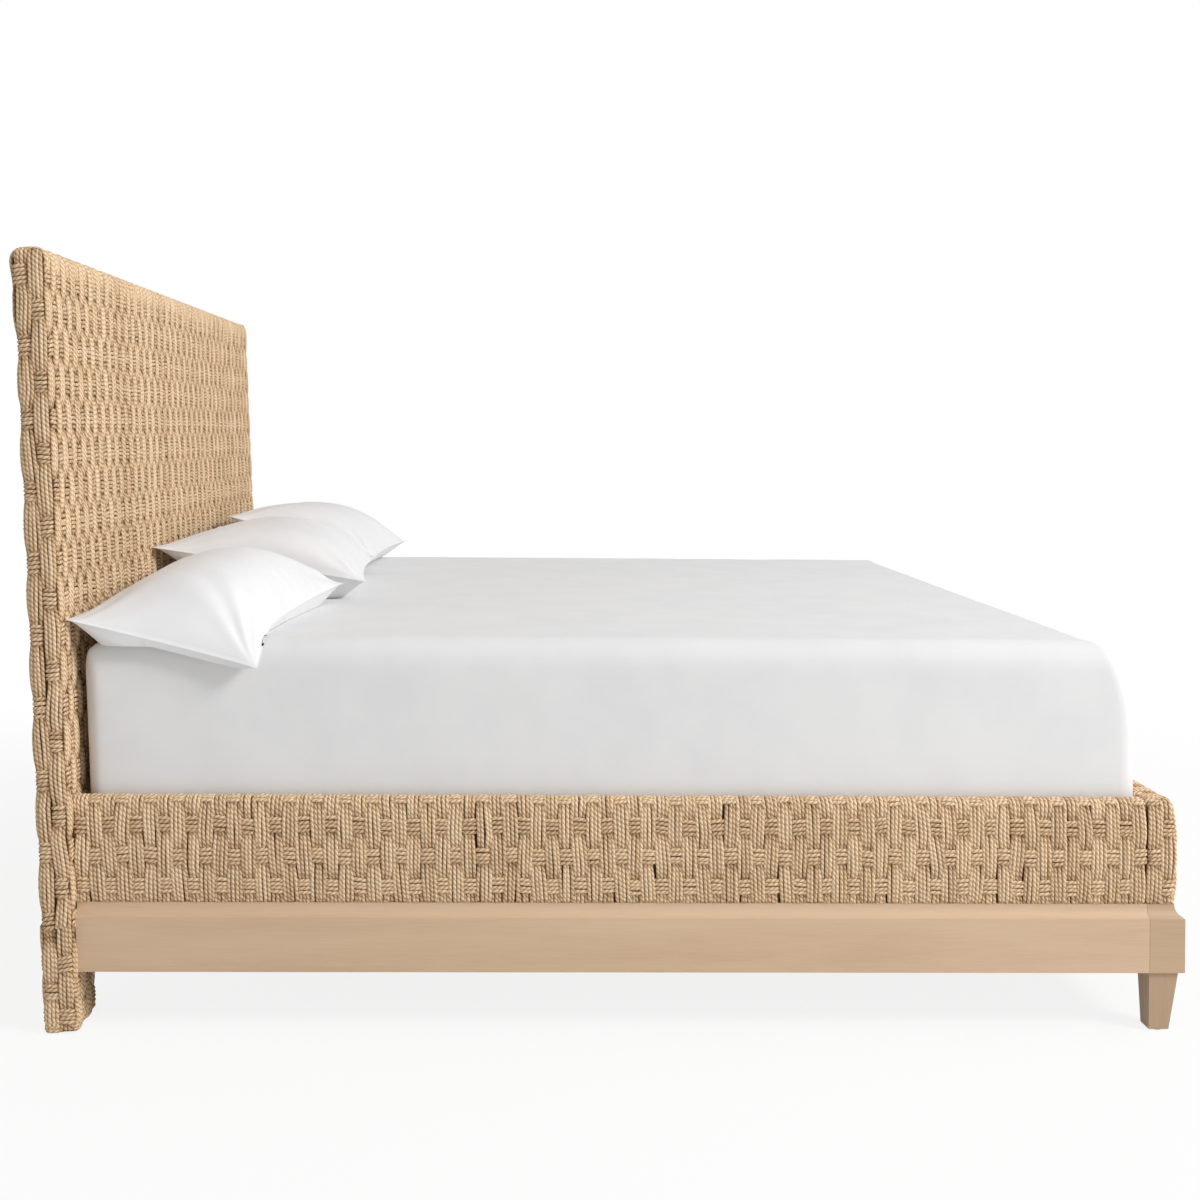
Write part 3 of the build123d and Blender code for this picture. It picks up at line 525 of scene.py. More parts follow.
# The woven surfaces: a plan line that carries bundle numbers, and an upright profile over it
def arc(centre, radius, start, end, count=9):
    """Points and outward normals along an arc, angles in degrees."""
    angles = np.radians(np.linspace(start, end, count))
    normals = np.stack([np.cos(angles), np.sin(angles)], 1)
    return np.array(centre) + radius * normals, normals


def line(start, end, normal):
    """Points and normals of a straight run."""
    length = math.dist(start, end)
    shares = np.linspace(0, 1, max(2, int(length / 0.02) + 1))[:, None]
    points = np.array(start) * (1 - shares) + np.array(end) * shares
    return points, np.tile(np.array(normal, float), (len(points), 1))


def run_on(pieces):
    """Join runs and arcs to one line of points, normals and distances."""
    points = np.concatenate([piece[0] for piece in pieces])
    normals = np.concatenate([piece[1] for piece in pieces])
    gaps = np.linalg.norm(np.diff(points, axis=0), axis=1)
    keep = np.concatenate([[True], gaps > 1e-7])
    points, normals = points[keep], normals[keep]
    distance = np.concatenate([[0], np.cumsum(np.linalg.norm(np.diff(points, axis=0), axis=1))])
    return {"points": points, "normals": normals, "at": distance}


def profile_arc(centre, radius, start, end):
    """An arc of a profile line, which counts its points inwards and its normals outwards."""
    points, normals = arc(centre, radius, start, end)
    return points, normals * (-1, 1)


def numbered(plan, marks):
    """Make a plan line's positions count bundles. Marks pair a distance with a bundle number."""
    distances, numbers = zip(*marks)
    return {**plan, "at": np.interp(plan["at"], distances, numbers)}


def read_line(plan, at):
    """Point and unit normal of a line at the given positions."""
    point, normal = (
        np.stack([np.interp(at, plan["at"], plan[kind][:, axis]) for axis in (0, 1)], -1)
        for kind in ("points", "normals")
    )
    return point, unit(normal)


def on_wall(plan, profile, bundle, height, lift):
    """Points, normals and depth, which sets painted shade where strands sink, at a bundle of the plan
    and a height of the profile.
    """
    base, out = read_line(plan, bundle)
    section, way = read_line(profile, height)
    inward, up = section[..., 0], section[..., 1]
    normal = np.concatenate([out * way[..., :1], way[..., 1:]], -1)
    point = np.concatenate([base - out * inward[..., None], up[..., None]], -1)
    # Painted shade: the deeper a strand sinks below its highest lift, the darker it is painted
    depth = np.clip((over_lift - painted_shade_start - lift) / painted_shade_range, 0, 1)
    return point + normal * lift[..., None], normal, depth


def lift_of(wave, lowest):
    """Strand height in the weave, from -1 under the crossing strands to 1 over them."""
    return lowest + (over_lift - lowest) * (wave + 1) / 2


def wobble(shape, size):
    """Slow sideways wander of each strand."""
    count, length = shape
    knots = max(4, length // 7)
    values = random.normal(0, size, (count, knots))
    spread = np.linspace(0, knots - 1, length)
    return np.stack([np.interp(spread, np.arange(knots), row) for row in values])


def crossing(phase, sharpness=upright_sharpness):
    """A rounded square wave of a phase in half turns."""
    value = np.cos(np.pi * phase)
    return np.sign(value) * np.abs(value) ** sharpness


def upright_strands(
    plan,
    profile,
    bundles,
    rows_from,
    row_pitch,
    calm=None,
    lowest=under_lift,
    spacing=strand_spacing,
):
    """Centres, normals and depth, which sets painted shade, of bundles up a wall. Rows are counted
    from rows_from.
    """
    low, high = profile["at"][0], profile["at"][-1]
    heights = np.linspace(low, high, int((high - low) / strand_step) + 1)
    numbers = np.repeat(np.asarray(bundles), strands_per_bundle)
    places = np.tile(np.arange(strands_per_bundle) - (strands_per_bundle - 1) / 2, len(bundles))
    row_phase = rows_from(heights) / row_pitch
    wave = crossing(row_phase[None, :] + numbers[:, None])
    if calm is not None:
        wave = wave * calm(heights)[None, :]
    probe = np.array([0.4, 0.6]) + numbers[0]
    width = np.linalg.norm(np.diff(read_line(plan, probe)[0], axis=0)) / 0.2
    offset = places[:, None] * (spacing / width) * (1 + squeeze * wave)
    drift = wobble((len(bundles), len(heights)), bundle_drift)
    drift = np.repeat(drift, strands_per_bundle, axis=0)
    offset = offset + (wobble(wave.shape, strand_jitter) + drift) / width
    bundle = numbers[:, None] + 0.5 + offset
    floats = 2 * ((wave + 1) / 2) ** float_fullness - 1
    lift = lift_of(floats, lowest) - upright_edge_drop * np.abs(places)[:, None]
    if calm is not None:
        lift = lift + top_swell * (1 - calm(heights))[None, :]
    return on_wall(plan, profile, bundle, np.broadcast_to(heights, bundle.shape), lift)


def level_strands(
    plan,
    profile,
    rows,
    last_bundle,
    bundle_width,
    strands=strands_per_bundle,
    pitch=strand_spacing,
    lowest=under_lift,
    painted_shade_scale=1.0,
):
    """Centres, normals and depth, which sets painted shade with extra darkening for level rows, of
    bundles along a wall. Rows pair a height with a number.
    """
    count = int(last_bundle * bundle_width / level_step) + 1
    across = np.linspace(0, last_bundle, count)
    heights = np.repeat([height for height, _ in rows], strands)
    numbers = np.repeat([number for _, number in rows], strands)
    places = np.tile(np.arange(strands) - (strands - 1) / 2, len(rows))
    wave = -crossing(across[None, :] - 0.5 + numbers[:, None], level_sharpness)
    offset = places[:, None] * pitch * (1 + level_squeeze * wave)
    drift = np.repeat(wobble((len(rows), count), bundle_drift), strands, axis=0)
    height = heights[:, None] + offset + drift + wobble(wave.shape, strand_jitter)
    lift = lift_of(wave, lowest) - level_edge_drop * np.abs(places)[:, None]
    bundle = np.broadcast_to(across, height.shape)
    point, normal, depth = on_wall(plan, profile, bundle, height, lift)
    # Painted shade: depth scaled by the row's shade weight, plus a fixed darkening for level rows
    return point, normal, depth * painted_shade_scale + level_painted_shade


def raked(points):
    """Carry points or normals from the headboard's upright frame to its lean."""
    turn = np.array(Matrix.Rotation(-head_rake, 3, "X"))
    return points @ turn.T


def woven(name, strands, replaced, closed=False, place=None):
    """One rope piece that rides on the frame."""
    centres, normals, depth = strands
    if place is not None:
        centres, normals = raked(centres) + place, raked(normals)
    made = rope_strands(name, centres, normals, depth, closed)
    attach(made, "frame")
    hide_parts(*replaced)
    return made


# Headboard weave
glide_low, glide_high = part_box("headboard_glides")
head_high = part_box("headboard_weave")[1]
head_place = np.array([0, (glide_low.y + glide_high.y) / 2 - head_thickness / 2, 0])
head_half = head_high.x
head_length = (head_high.z - head_top_radius * (1 - math.sin(head_rake))) / math.cos(head_rake)
head_length += head_top_radius
top_row = head_length - head_first_row


def loop_plan(x_low, x_high, depth, radius, across, deep):
    """Rounded rectangle as a plan line with its bundles numbered: front, +X side, back, -X side."""
    low, high = radius, depth - radius
    near, far = x_low + radius, x_high - radius
    pieces = [
        arc((near, low), radius, 225, 270, 5),
        line((near, 0), (far, 0), (0, -1)),
        arc((far, low), radius, 270, 360),
        line((x_high, low), (x_high, high), (1, 0)),
        arc((far, high), radius, 0, 90),
        line((far, depth), (near, depth), (0, 1)),
        arc((near, high), radius, 90, 180),
        line((x_low, high), (x_low, low), (-1, 0)),
        arc((near, low), radius, 180, 225, 5),
    ]
    plan = run_on(pieces)
    quarter = radius * math.pi / 2
    wide = far - near + quarter
    thick = high - low + quarter
    ends = np.cumsum([0, wide, thick, wide, thick]) * plan["at"][-1] / (2 * wide + 2 * thick)
    counts = np.cumsum([0, across, deep, across, deep])
    return numbered(plan, list(zip(ends, counts)))


def headboard_profile():
    """Up the front face, over the rounded top and down the flared back."""
    top, radius = head_length, head_top_radius
    back = head_thickness + head_flare
    flare_base = top - head_flare_length
    lean = math.atan2(head_flare, head_flare_length - radius)
    leaning = (-math.cos(lean), math.sin(lean))
    return run_on(
        [
            line((0, head_lower_edge), (0, top - radius), (1, 0)),
            profile_arc((radius, top - radius), radius, 180, 90),
            line((radius, top), (back - radius, top), (0, 1)),
            profile_arc((back - radius, top - radius), radius, 90, 0),
            line((back, top - radius), (head_thickness, flare_base), leaning),
            line((head_thickness, flare_base), (head_thickness, head_lower_edge), (-1, 0)),
        ]
    )


def wall_profile(low, high, radius=0.0, turn_in=0.0):
    """A plain upright face, with an arc over its top edge if it has a radius."""
    pieces = [line((0, low), (0, high - radius), (1, 0))]
    if radius:
        pieces.append(profile_arc((radius, high - radius), radius, 180, 90))
    if turn_in:
        pieces.append(line((radius, high), (radius + turn_in, high), (0, 1)))
    return run_on(pieces)


def weave_headboard():
    """Rope over the panel: uprights over its top edge, side bundles, and level rows all round."""
    plan = loop_plan(
        -head_half, head_half, head_thickness, head_side_radius, head_bundles, side_bundles
    )
    profile = headboard_profile()
    total = profile["at"][-1]
    first_row = top_row - head_lower_edge

    def rows_from(distance):
        back = distance - (total - first_row)
        return np.where(distance < total / 2, first_row - distance, back) + head_row_pitch

    def calm(distance):
        off_top = np.abs(distance - total / 2) - head_thickness * calm_reach
        return np.clip(off_top / head_first_row, calm_share, 1.0)

    groups = np.array_split(np.arange(head_bundles), head_pieces)
    for index, bundles in enumerate(groups, start=1):
        strands = upright_strands(
            plan,
            profile,
            bundles,
            rows_from,
            head_row_pitch,
            calm,
            head_under_lift,
            head_upright_spacing,
        )
        woven(f"headboard_uprights_{index}", strands, ["headboard_weave"], place=head_place)

    def side_rows(distance):
        return first_row - distance + head_row_pitch

    side_top = head_length - side_top_gap
    side_profile = wall_profile(head_lower_edge, side_top, side_turn_radius, side_turn_in)
    ends = np.array([head_bundles, head_bundles + 1, 2 * head_bundles + 2, 2 * head_bundles + 3])
    strands = upright_strands(plan, side_profile, ends, side_rows, head_row_pitch)
    woven("headboard_side_uprights", strands, ["headboard_weave"], place=head_place)

    row_count = int(first_row / head_row_pitch) + 1
    rows = [(first_row - head_row_pitch * number, number + 1) for number in range(row_count)]
    flat = wall_profile(head_lower_edge, head_length)
    rows_per_piece = row_count // 4
    for index, first in enumerate(range(0, row_count, rows_per_piece), start=1):
        strands = level_strands(
            plan,
            flat,
            rows[first : first + rows_per_piece],
            2 * head_bundles + 2 * side_bundles,
            2 * head_half / head_bundles,
            head_row_strands,
            head_row_spacing,
            head_under_lift,
            head_row_painted_shade,
        )
        centres, normals, depth = (part[:, :-1] for part in strands)
        back = (centres[..., 2] - (head_length - head_flare_length)) / head_flare_length
        flare = head_flare * np.clip(back, 0, 1)
        centres[..., 1] += flare * (centres[..., 1] / head_thickness)
        strands = (centres, normals, depth)
        name = f"headboard_rows_{index}"
        woven(name, strands, ["headboard_weave"], closed=True, place=head_place)


def weave_leg(side, label):
    """Rope round one headboard leg, from the panel's lower edge to the floor."""
    name = f"headboard_leg_wrap_{label}"
    x_span = sorted((side * head_half, side * (head_half - head_leg_width)))
    plan = loop_plan(*x_span, head_thickness, head_side_radius, leg_bundles, side_bundles)
    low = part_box(name)[0].z + strand_radius + leg_floor_gap
    profile = wall_profile(low, head_lower_edge + leg_overlap)
    bundle_total = 2 * leg_bundles + 2 * side_bundles

    def rows_from(distance):
        return distance - leg_row_pitch / 2

    bundles = np.arange(bundle_total)
    strands = upright_strands(plan, profile, bundles, rows_from, leg_row_pitch)
    woven(f"leg_uprights_{label}", strands, [name], place=head_place)
    row_count = int(profile["at"][-1] / leg_row_pitch)
    rows = [(leg_lowest_row, -1)]
    rows += [(leg_row_pitch * (number + 0.5), number) for number in range(row_count)]
    strands = level_strands(plan, profile, rows, bundle_total, head_leg_width / leg_bundles)
    strands = [part[:, :-1] for part in strands]
    woven(f"leg_rows_{label}", strands, [name], closed=True, place=head_place)


# Rail weave
def rail_rows_from(distance):
    """Distance up the rail's profile, counted from its first row."""
    return distance - rail_first_row


def rail_rows(count):
    """Height and number of each level row of a rail."""
    return [(rail_first_row + rail_row_pitch * number, number) for number in range(count)]


def rail_profile(low, high, width, drop):
    """Up the bulged face, over the top and down the short inner return."""
    radius = rail_top_radius
    rise = high - radius - low
    share = np.linspace(0, 1, 15)
    face = np.stack([-4 * rail_bulge * share * (1 - share), low + rise * share], 1)
    slope = 4 * rail_bulge * (1 - 2 * share) / rise
    face_normals = unit(np.stack([np.ones_like(slope), -slope], 1))
    inner = width - rail_inner_radius
    inner_top = high - rail_inner_radius
    return run_on(
        [
            (face, face_normals),
            profile_arc((radius, high - radius), radius, 180, 90),
            line((radius, high), (inner, high), (0, 1)),
            profile_arc((inner, inner_top), rail_inner_radius, 90, 0),
            line((width, inner_top), (width, high - drop), (-1, 0)),
        ]
    )


def weave_side_rail(side, label):
    """Rope over one side rail, from the foot seam to the headboard's face."""
    name = f"side_weave_{label}"
    low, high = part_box(name)
    outer = abs(low.x if side < 0 else high.x) - rail_bulge
    inner = abs(high.x if side < 0 else low.x)
    start = low.y + strand_spacing / 2
    end = head_place[1] + low.z * math.tan(head_rake) - rail_head_gap
    plan = run_on([line((side * outer, start), (side * outer, end), (side, 0))])
    plan = numbered(plan, [(0, 0), (end - start, rail_bundles)])
    profile = rail_profile(low.z, high.z, outer - inner, rail_return)

    def leaned(strands):
        centres, normals, depth = strands
        shear = (centres[..., 1] - start) / (end - start) * math.tan(head_rake)
        centres[..., 1] += shear * (centres[..., 2] - low.z)
        return centres, normals, depth

    bundles = np.arange(rail_bundles)
    strands = upright_strands(plan, profile, bundles, rail_rows_from, rail_row_pitch)
    woven(f"side_uprights_{label}", leaned(strands), [name])
    rows = rail_rows(int((profile["at"][-1] - rail_first_row) / rail_row_pitch) + 1)
    strands = level_strands(plan, profile, rows, rail_bundles, (end - start) / rail_bundles)
    woven(f"side_rows_{label}", leaned(strands), [name])


def weave_foot_rail():
    """Rope over the foot rail's face, top and ends."""
    low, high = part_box("foot_weave")
    half = high.x - rail_bulge
    face_y = low.y + rail_bulge
    inner_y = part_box("foot_rail")[1].y
    radius = foot_corner_radius - rail_bulge
    pieces = [
        line((-half, inner_y), (-half, face_y + radius), (-1, 0)),
        arc((-half + radius, face_y + radius), radius, 180, 270),
        line((-half + radius, face_y), (half - radius, face_y), (0, -1)),
        arc((half - radius, face_y + radius), radius, 270, 360),
        line((half, face_y + radius), (half, inner_y), (1, 0)),
    ]
    plan = run_on(pieces)
    total = plan["at"][-1]
    end_length = inner_y - face_y - radius + radius * math.pi / 4
    last = side_bundles + foot_bundles
    bundle_total = last + side_bundles
    marks = [(0, 0), (end_length, side_bundles), (total - end_length, last), (total, bundle_total)]
    plan = numbered(plan, marks)
    profile = rail_profile(low.z, high.z, high.y - face_y, rail_return)
    front = np.arange(side_bundles, last)
    strands = upright_strands(plan, profile, front, rail_rows_from, rail_row_pitch)
    woven("foot_uprights", strands, ["foot_weave"])
    end_profile = rail_profile(low.z, high.z, foot_end_width, foot_end_return)
    ends = np.array([0, 1, last, last + 1])
    strands = upright_strands(plan, end_profile, ends, rail_rows_from, rail_row_pitch)
    woven("foot_end_uprights", strands, ["foot_weave"])
    rows = rail_rows(foot_row_count)
    strands = level_strands(plan, profile, rows, bundle_total, 2 * half / foot_bundles)
    woven("foot_rows", strands, ["foot_weave"])


# Bedding
def grid_faces(rows, columns, offset=0):
    """Quads of a grid of points."""
    start = np.arange(rows - 1)[:, None] * columns + np.arange(columns - 1)[None, :] + offset
    return np.stack([start, start + 1, start + columns + 1, start + columns], -1).reshape(-1, 4)


def close_spaced(low, high, count, low_tail, high_tail, tail_count=12):
    """Positions from low to high that stand closer together within a tail at each end."""
    start = np.linspace(low, low + low_tail, tail_count)
    middle = np.linspace(low + low_tail, high - high_tail, count)[1:-1]
    end = np.linspace(high - high_tail, high, tail_count)
    return np.concatenate([start, middle, end])


def rounded_off(point, axes, low, high, radius):
    """Pull points of a sharp box onto one whose edges in the plane of two axes are rounded."""
    flat = point[..., list(axes)]
    held = np.stack(
        [np.clip(point[..., axis], low[axis] + radius, high[axis] - radius) for axis in axes], -1
    )
    way = flat - held
    size = np.linalg.norm(way, axis=-1, keepdims=True)
    moved = held + way / np.maximum(size, 1e-9) * np.minimum(size, radius)
    for index, axis in enumerate(axes):
        point[..., axis] = moved[..., index]


def bedding_shell(name, growth, base, material, ripple=0.0):
    """Mattress-shaped shell, open below: soft foot end, rounded sides and a head end that leans."""
    box_low, box_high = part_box("mattress")
    half = box_high.x + growth
    foot, head = box_low.y - growth, box_high.y + growth
    top = box_high.z + growth
    lean = math.tan(head_rake)
    x_line = close_spaced(-half, half, count=44, low_tail=0.07, high_tail=0.07)
    y_line = close_spaced(foot, head, count=50, low_tail=0.13, high_tail=0.08)
    z_line = close_spaced(base, top, count=12, low_tail=0.02, high_tail=0.20)
    z_for_x, x_for_z = np.meshgrid(z_line, x_line, indexing="ij")
    z_for_y, y_for_z = np.meshgrid(z_line, y_line, indexing="ij")
    y_top, x_top = np.meshgrid(y_line, x_line, indexing="ij")
    patches = [
        (x_for_z, np.full_like(x_for_z, foot), z_for_x),
        (x_for_z[:, ::-1], np.full_like(x_for_z, head), z_for_x),
        (np.full_like(y_for_z, half), y_for_z, z_for_y),
        (np.full_like(y_for_z, -half), y_for_z[:, ::-1], z_for_y),
        (x_top, y_top, np.full_like(x_top, top)),
    ]
    faces, points, count = [], [], 0
    for patch in patches:
        points.append(np.stack(patch, -1).reshape(-1, 3))
        faces.append(grid_faces(*patch[0].shape, offset=count))
        count += patch[0].size
    points = np.concatenate(points)
    deep = base - 1.0
    rounded_off(points, (0, 2), (-half, 0, deep), (half, 0, top), mattress_side_radius)
    rounded_off(points, (1, 2), (0, foot - 1.0, deep), (0, head, top), mattress_head_radius)
    rounded_off(points, (0, 1), (-half, foot, 0), (half, head, 0), mattress_corner_radius)
    depth = np.clip((points[:, 2] - (top - mattress_foot_drop)) / mattress_foot_drop, 0, 1)
    near_foot = np.clip(1 - (points[:, 1] - foot) / (mattress_foot_ease * mattress_foot_run), 0, 1)
    points[:, 1] += mattress_foot_run * (1 - np.sqrt(np.maximum(1 - depth**2, 0))) * near_foot
    near_head = np.clip(1 - (head - points[:, 1]) / mattress_head_ease, 0, 1)
    edge_height = top - mattress_head_radius
    points[:, 1] -= (edge_height - np.minimum(points[:, 2], edge_height)) * lean * near_head
    if ripple:
        points += ripple_of(points, ripple, half, base, top)
    made = mesh_object(name, points, faces, material)
    weld(made)
    return made


def ripple_of(points, size, half, base, top):
    """Faint unevenness of stretched cotton: broad dips on top, short pulls near the sides."""
    x, y, z = points.T
    broad = np.sin(3.1 * x + 1.7 * y + 0.4) * np.sin(2.3 * y - 1.9 * x + 1.1)
    pull = np.sin(26 * (x + y) + 4 * np.sin(3 * y)) * np.exp(-((np.abs(x) - half) ** 2) / 0.02)
    wave = size * (0.6 * broad + 0.25 * pull * (z > top - 0.08))
    upwards = np.clip((z - base) / (top - base), 0, 1)
    side = np.sin(17 * y + 2.2 * np.sin(4 * z + y)) * np.sin(math.pi * upwards)
    moved = np.zeros_like(points)
    moved[:, 2] = np.where(z > top - 0.02, -np.abs(wave), 0)
    moved[:, 0] = np.where(np.abs(x) > half - 0.02, -np.sign(x) * np.abs(side) * size * 0.5, 0)
    return moved


def weld(made, distance=0.0005, crease=math.pi):
    """Merge doubled points where patches meet, and keep edges sharper than crease crisp."""
    work = bmesh.new()
    work.from_mesh(made.data)
    bmesh.ops.remove_doubles(work, verts=work.verts, dist=distance)
    bmesh.ops.recalc_face_normals(work, faces=work.faces)
    for edge in work.edges:
        if edge.is_manifold and edge.calc_face_angle() > crease:
            edge.smooth = False
    work.to_mesh(made.data)
    work.free()


def make_mattress():
    """Ticking-covered mattress inside the sheet."""
    low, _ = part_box("mattress")
    made = bedding_shell("mattress_body", growth=-0.0015, base=low.z, material=ticking)
    close_base(made)
    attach(made, "mattress_body")
    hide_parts("mattress")


def close_base(made):
    """Fill a shell's open base with one face."""
    work = bmesh.new()
    work.from_mesh(made.data)
    rim = [edge for edge in work.edges if edge.is_boundary]
    bmesh.ops.holes_fill(work, edges=rim, sides=0)
    bmesh.ops.recalc_face_normals(work, faces=work.faces)
    work.to_mesh(made.data)
    work.free()


def make_sheet():
    """Fitted sheet drawn over the mattress."""
    low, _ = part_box("fitted_sheet")
    made = bedding_shell(
        "sheet", growth=0.0018, base=low.z, material=sheet_cotton, ripple=0.0022
    )
    thick = made.modifiers.new("Thickness", "SOLIDIFY")
    thick.thickness = sheet_thickness
    thick.offset = -1
    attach(made, "mattress_body")
    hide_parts("fitted_sheet")


pillows = {
    "pillow_near": {
        "body": "near_pillow",
        "span": (-1.000, -0.362),
        "back": ((0.0, 0.775), (0.012, 0.804)),
        "front": ((0.136, 0.744), (0.048, 0.783)),
        "rise": 0.106,
        "droop": 0.058,
        "lifts": (0.92, 1.62),
        "ends": ((3.8, 0.66), (3.0, 0.75)),
    },
    "pillow_middle": {
        "body": "middle_pillow",
        "span": (-0.322, 0.346),
        "back": ((0.0, 0.860), (0.025, 0.868)),
        "front": ((0.0, 0.783), (0.044, 0.783)),
        "rise": 0.098,
        "droop": 0.0,
        "lifts": (0.82, 1.62),
        "ends": ((6.0, 0.55), (3.0, 0.75)),
    },
    "pillow_far": {
        "body": "far_pillow",
        "span": (0.358, 0.990),
        "back": ((0.045, 0.896), (0.012, 0.872)),
        "front": ((0.044, 0.783), (0.004, 0.783)),
        "rise": 0.088,
        "droop": 0.0,
        "lifts": (0.95, 1.72),
        "ends": ((6.0, 0.55), (3.2, 0.70)),
    },
}


def bezier(ends, lifts, rise, along):
    """A section from the back seam to the front seam, crowned over the line between them."""
    low, high = ends
    first, second = (
        low + share * (high - low) + lift * rise for share, lift in zip(crown_shares, lifts)
    )
    rest = 1 - along
    inner = 3 * rest**2 * along * first + 3 * rest * along**2 * second
    return rest**3 * low + inner + along**3 * high


def corner_folds(x, y, corner, size, shape):
    """Folds that fan out from one corner and fade towards both seams."""
    away_x, away_y = np.abs(x - corner[0]), np.abs(y - corner[1])
    reach = np.hypot(away_x, away_y)
    angle = np.arctan2(away_y, away_x + 1e-6)
    fan = np.sin(fold_count * angle + shape.uniform(0, 6) + 2.0 * np.sin(9 * reach))
    fade = np.exp(-reach / fold_reach) * (1 - np.exp(-((reach / 0.03) ** 2)))
    return size * fan * fade * np.sin(2 * angle)


def bed_height(x):
    """Height of the sheet's top across the bed, rounded down at its sides."""
    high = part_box("fitted_sheet")[1]
    past = np.clip(np.abs(x) - (high.x - mattress_side_radius), 0, None)
    drop = mattress_side_radius - np.sqrt(np.clip(mattress_side_radius**2 - past**2, 0, None))
    return np.where(np.abs(x) < high.x, high.z - drop, 0) + sheet_gap


def make_pillow(name, seed):
    """Crowned pillow with drawn-in sides, knife-edge seam and pulled corners, resting on the sheet."""
    facts = pillows[name]
    shape = np.random.default_rng(seed)
    spread = np.sin(np.linspace(-1, 1, pillow_cells) * edge_turn) / math.sin(edge_turn)
    across, along = np.meshgrid(spread, (spread + 1) / 2, indexing="ij")
    share = (across + 1) / 2
    bow = pillow_seam_draw * (1 - across**2)

    def between(pair):
        return pair[0] + share * (pair[1] - pair[0])

    back_gap, back_z = (between(pair) for pair in zip(*facts["back"]))
    reach, front_z = (between(pair) for pair in zip(*facts["front"]))
    back_y = head_place[1] + back_z * math.tan(head_rake) - pillow_head_gap - back_gap - bow
    front_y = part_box("foot_rail")[1].y + pillow_front_reach + reach + bow
    front_z = front_z - facts["droop"] * np.clip(1 - share / droop_share, 0, None) ** 1.5
    power, softness = (np.where(across < 0, *pair) for pair in zip(*facts["ends"]))
    rise = facts["rise"] * (1 - np.abs(across) ** power) ** softness
    x = between(facts["span"])
    x = x - pillow_end_draw * np.sign(across) * np.abs(across) ** 5 * (1 - (2 * along - 1) ** 2)
    flat = (0.0, 0.0)
    y = bezier((back_y, front_y), flat, rise, along)
    seam_z = bezier((back_z, front_z), flat, rise, along)
    upper = bezier((back_z, front_z), facts["lifts"], rise, along)
    end_fullness = (1 - np.abs(across) ** belly_power) ** 0.5
    lower = 2 * seam_z - bezier((back_z, front_z), belly_lifts, facts["rise"] * end_fullness, along)
    thick = (upper - seam_z) / facts["rise"]
    for end, size in ((0, 0.5), (-1, 1.0)):
        for side, wide in ((0, 0.6), (-1, 1.0)):
            corner = (x[side, end], y[side, end])
            folds = corner_folds(x, y, corner, fold_height * size * wide, shape)
            upper = upper + folds * np.minimum(thick * 3, 1)
    run = 2 * math.pi * x / scallop_length + 1.7 * np.sin(11 * x)
    scallops = np.sin(run + shape.uniform(0, 6))
    from_seam = np.abs(y - front_y)
    fade = np.exp(-from_seam / scallop_reach) * (1 - np.exp(-from_seam / scallop_clearance))
    upper = upper + scallop_height * scallops * fade
    broad = np.sin(7 * x + shape.uniform(0, 6)) * np.sin(9 * y + shape.uniform(0, 6))
    upper = upper + broad_height * broad * np.minimum(thick * 2, 1)
    rest = bed_height(x)
    sheet_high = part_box("fitted_sheet")[1]
    over_edge = np.abs(x) > sheet_high.x - mattress_side_radius
    hang = np.minimum(sheet_high.z, seam_z) - edge_hang
    lower = np.maximum(lower, rest)
    lower = np.where(over_edge, np.maximum(lower, hang), lower)
    upper = np.maximum(upper, lower)
    x[0, :] -= seam_width
    x[-1, :] += seam_width
    y[:, 0] += seam_width
    y[:, -1] -= seam_width
    rim = np.zeros_like(upper, bool)
    rim[0, :] = rim[-1, :] = rim[:, 0] = rim[:, -1] = True
    lower[rim] = upper[rim] = np.maximum(seam_z[rim], rest[rim] + 0.0015)
    points = np.concatenate([np.stack([x, y, z], -1).reshape(-1, 3) for z in (upper, lower)])
    faces = [
        grid_faces(pillow_cells, pillow_cells),
        grid_faces(pillow_cells, pillow_cells, pillow_cells**2)[:, ::-1],
    ]
    made = mesh_object(name + "_case", points, faces, pillow_cotton)
    weld(made, distance=0.00002, crease=pillow_crease)
    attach(made, facts["body"])
    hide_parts(name)


# Floor, light and camera
def seen_directly(tree):
    """1 on rays that show the surroundings themselves: direct, in a mirror or through glass."""
    path = node(tree, "ShaderNodeLightPath").outputs
    first = math_node(tree, "MAXIMUM", path["Is Camera Ray"], path["Is Glossy Ray"])
    return math_node(tree, "MAXIMUM", first, path["Is Transmission Ray"])


def make_floor():
    """Wide pale floor that shows white and still takes the bed's shadow."""
    material, tree, shader = new_material("Floor")
    feed(
        tree,
        shader,
        {"Base Color": floor_colour, "Roughness": 0.9, "Specular IOR Level": 0.1},
    )
    glow = node(tree, "ShaderNodeEmission", {"Color": (1, 1, 1, 1), "Strength": 1.0})
    from_middle = node(
        tree, "ShaderNodeVectorMath", {0: object_place(tree)}, operation="LENGTH"
    ).outputs["Value"]
    near, far = floor_fade
    reading = {"Value": from_middle, "From Min": near, "From Max": far}
    reading.update({"To Min": floor_glow, "To Max": 1.0})
    share = node(
        tree, "ShaderNodeMapRange", reading, interpolation_type="SMOOTHSTEP"
    ).outputs["Result"]
    part = math_node(tree, "MULTIPLY", seen_directly(tree), share)
    mixed = node(tree, "ShaderNodeMixShader", {0: part, 1: shader.outputs[0], 2: glow.outputs[0]})
    output = next(n for n in tree.nodes if n.type == "OUTPUT_MATERIAL")
    tree.links.new(mixed.outputs[0], output.inputs["Surface"])
    square = [(-1, -1, 0), (1, -1, 0), (1, 1, 0), (-1, 1, 0)]
    corners = floor_half * np.array(square)
    floor = mesh_object("floor", corners, [np.array([[0, 1, 2, 3]])], material, smooth=False)


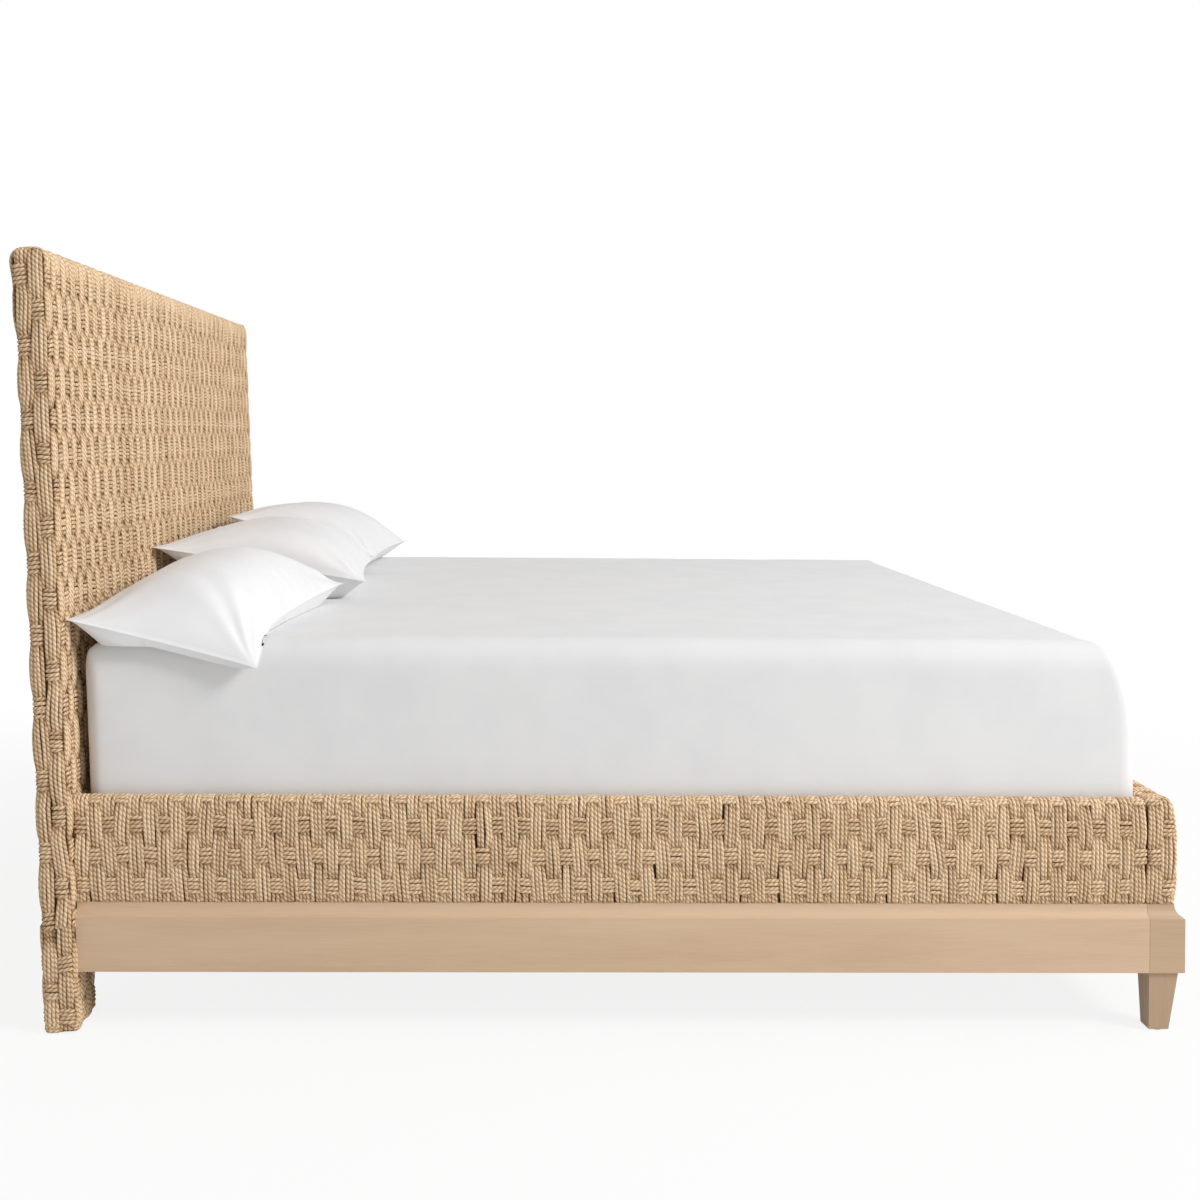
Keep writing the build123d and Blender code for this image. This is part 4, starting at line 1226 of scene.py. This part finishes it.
def make_world():
    """White surroundings for the camera, softer light for everything else."""
    world = bpy.data.worlds.new("Studio")
    bpy.context.scene.world = world
    world.use_nodes = True
    tree = world.node_tree
    background = next(n for n in tree.nodes if n.type == "BACKGROUND")
    strength = weighted(tree, world_light, (seen_directly(tree), 1 - world_light))
    feed(tree, background, {"Color": (1, 1, 1, 1), "Strength": strength})


def make_key():
    """One large soft lamp above the foot, on the camera's side."""
    data = bpy.data.lights.new("key", "AREA")
    data.shape = "RECTANGLE"
    data.size, data.size_y = key_size, key_size
    data.energy = key_power
    lamp = bpy.data.objects.new("key", data)
    lamp.location = key_place
    way = Vector(key_target) - Vector(key_place)
    lamp.rotation_euler = way.to_track_quat("-Z", "Y").to_euler()
    bpy.context.scene.collection.objects.link(lamp)


def make_camera():
    """Camera at the photograph's place, angle and framing."""
    cos_pitch, sin_pitch = math.cos(camera_pitch), math.sin(camera_pitch)
    cos_yaw, sin_yaw = math.cos(camera_yaw), math.sin(camera_yaw)
    forward = Vector((cos_pitch * cos_yaw, cos_pitch * sin_yaw, -sin_pitch))
    right = forward.cross(Vector((0, 0, 1))).normalized()
    up = right.cross(forward)
    cos_roll, sin_roll = math.cos(camera_roll), math.sin(camera_roll)
    rolled_right = right * cos_roll + up * sin_roll
    rolled_up = up * cos_roll - right * sin_roll
    data = bpy.data.cameras.new("Camera")
    data.sensor_width = sensor_width
    data.lens = focal_pixels / image_size * sensor_width
    data.shift_x = 0.5 - view_centre[0] / image_size
    data.shift_y = view_centre[1] / image_size - 0.5
    camera = bpy.data.objects.new("Camera", data)
    turn = Matrix((rolled_right, rolled_up, -forward)).transposed()
    camera.matrix_world = Matrix.Translation(camera_place) @ turn.to_4x4()
    bpy.context.scene.collection.objects.link(camera)
    bpy.context.scene.camera = camera


dress_frame()
weave_headboard()
weave_leg(-1, "left")
weave_leg(1, "right")
weave_side_rail(-1, "left")
weave_side_rail(1, "right")
weave_foot_rail()
make_mattress()
make_sheet()
for seed, pillow_name in enumerate(pillows, start=3):
    make_pillow(pillow_name, seed)
make_floor()
make_world()
make_key()
make_camera()
bpy.context.scene.view_settings.view_transform = "Standard"
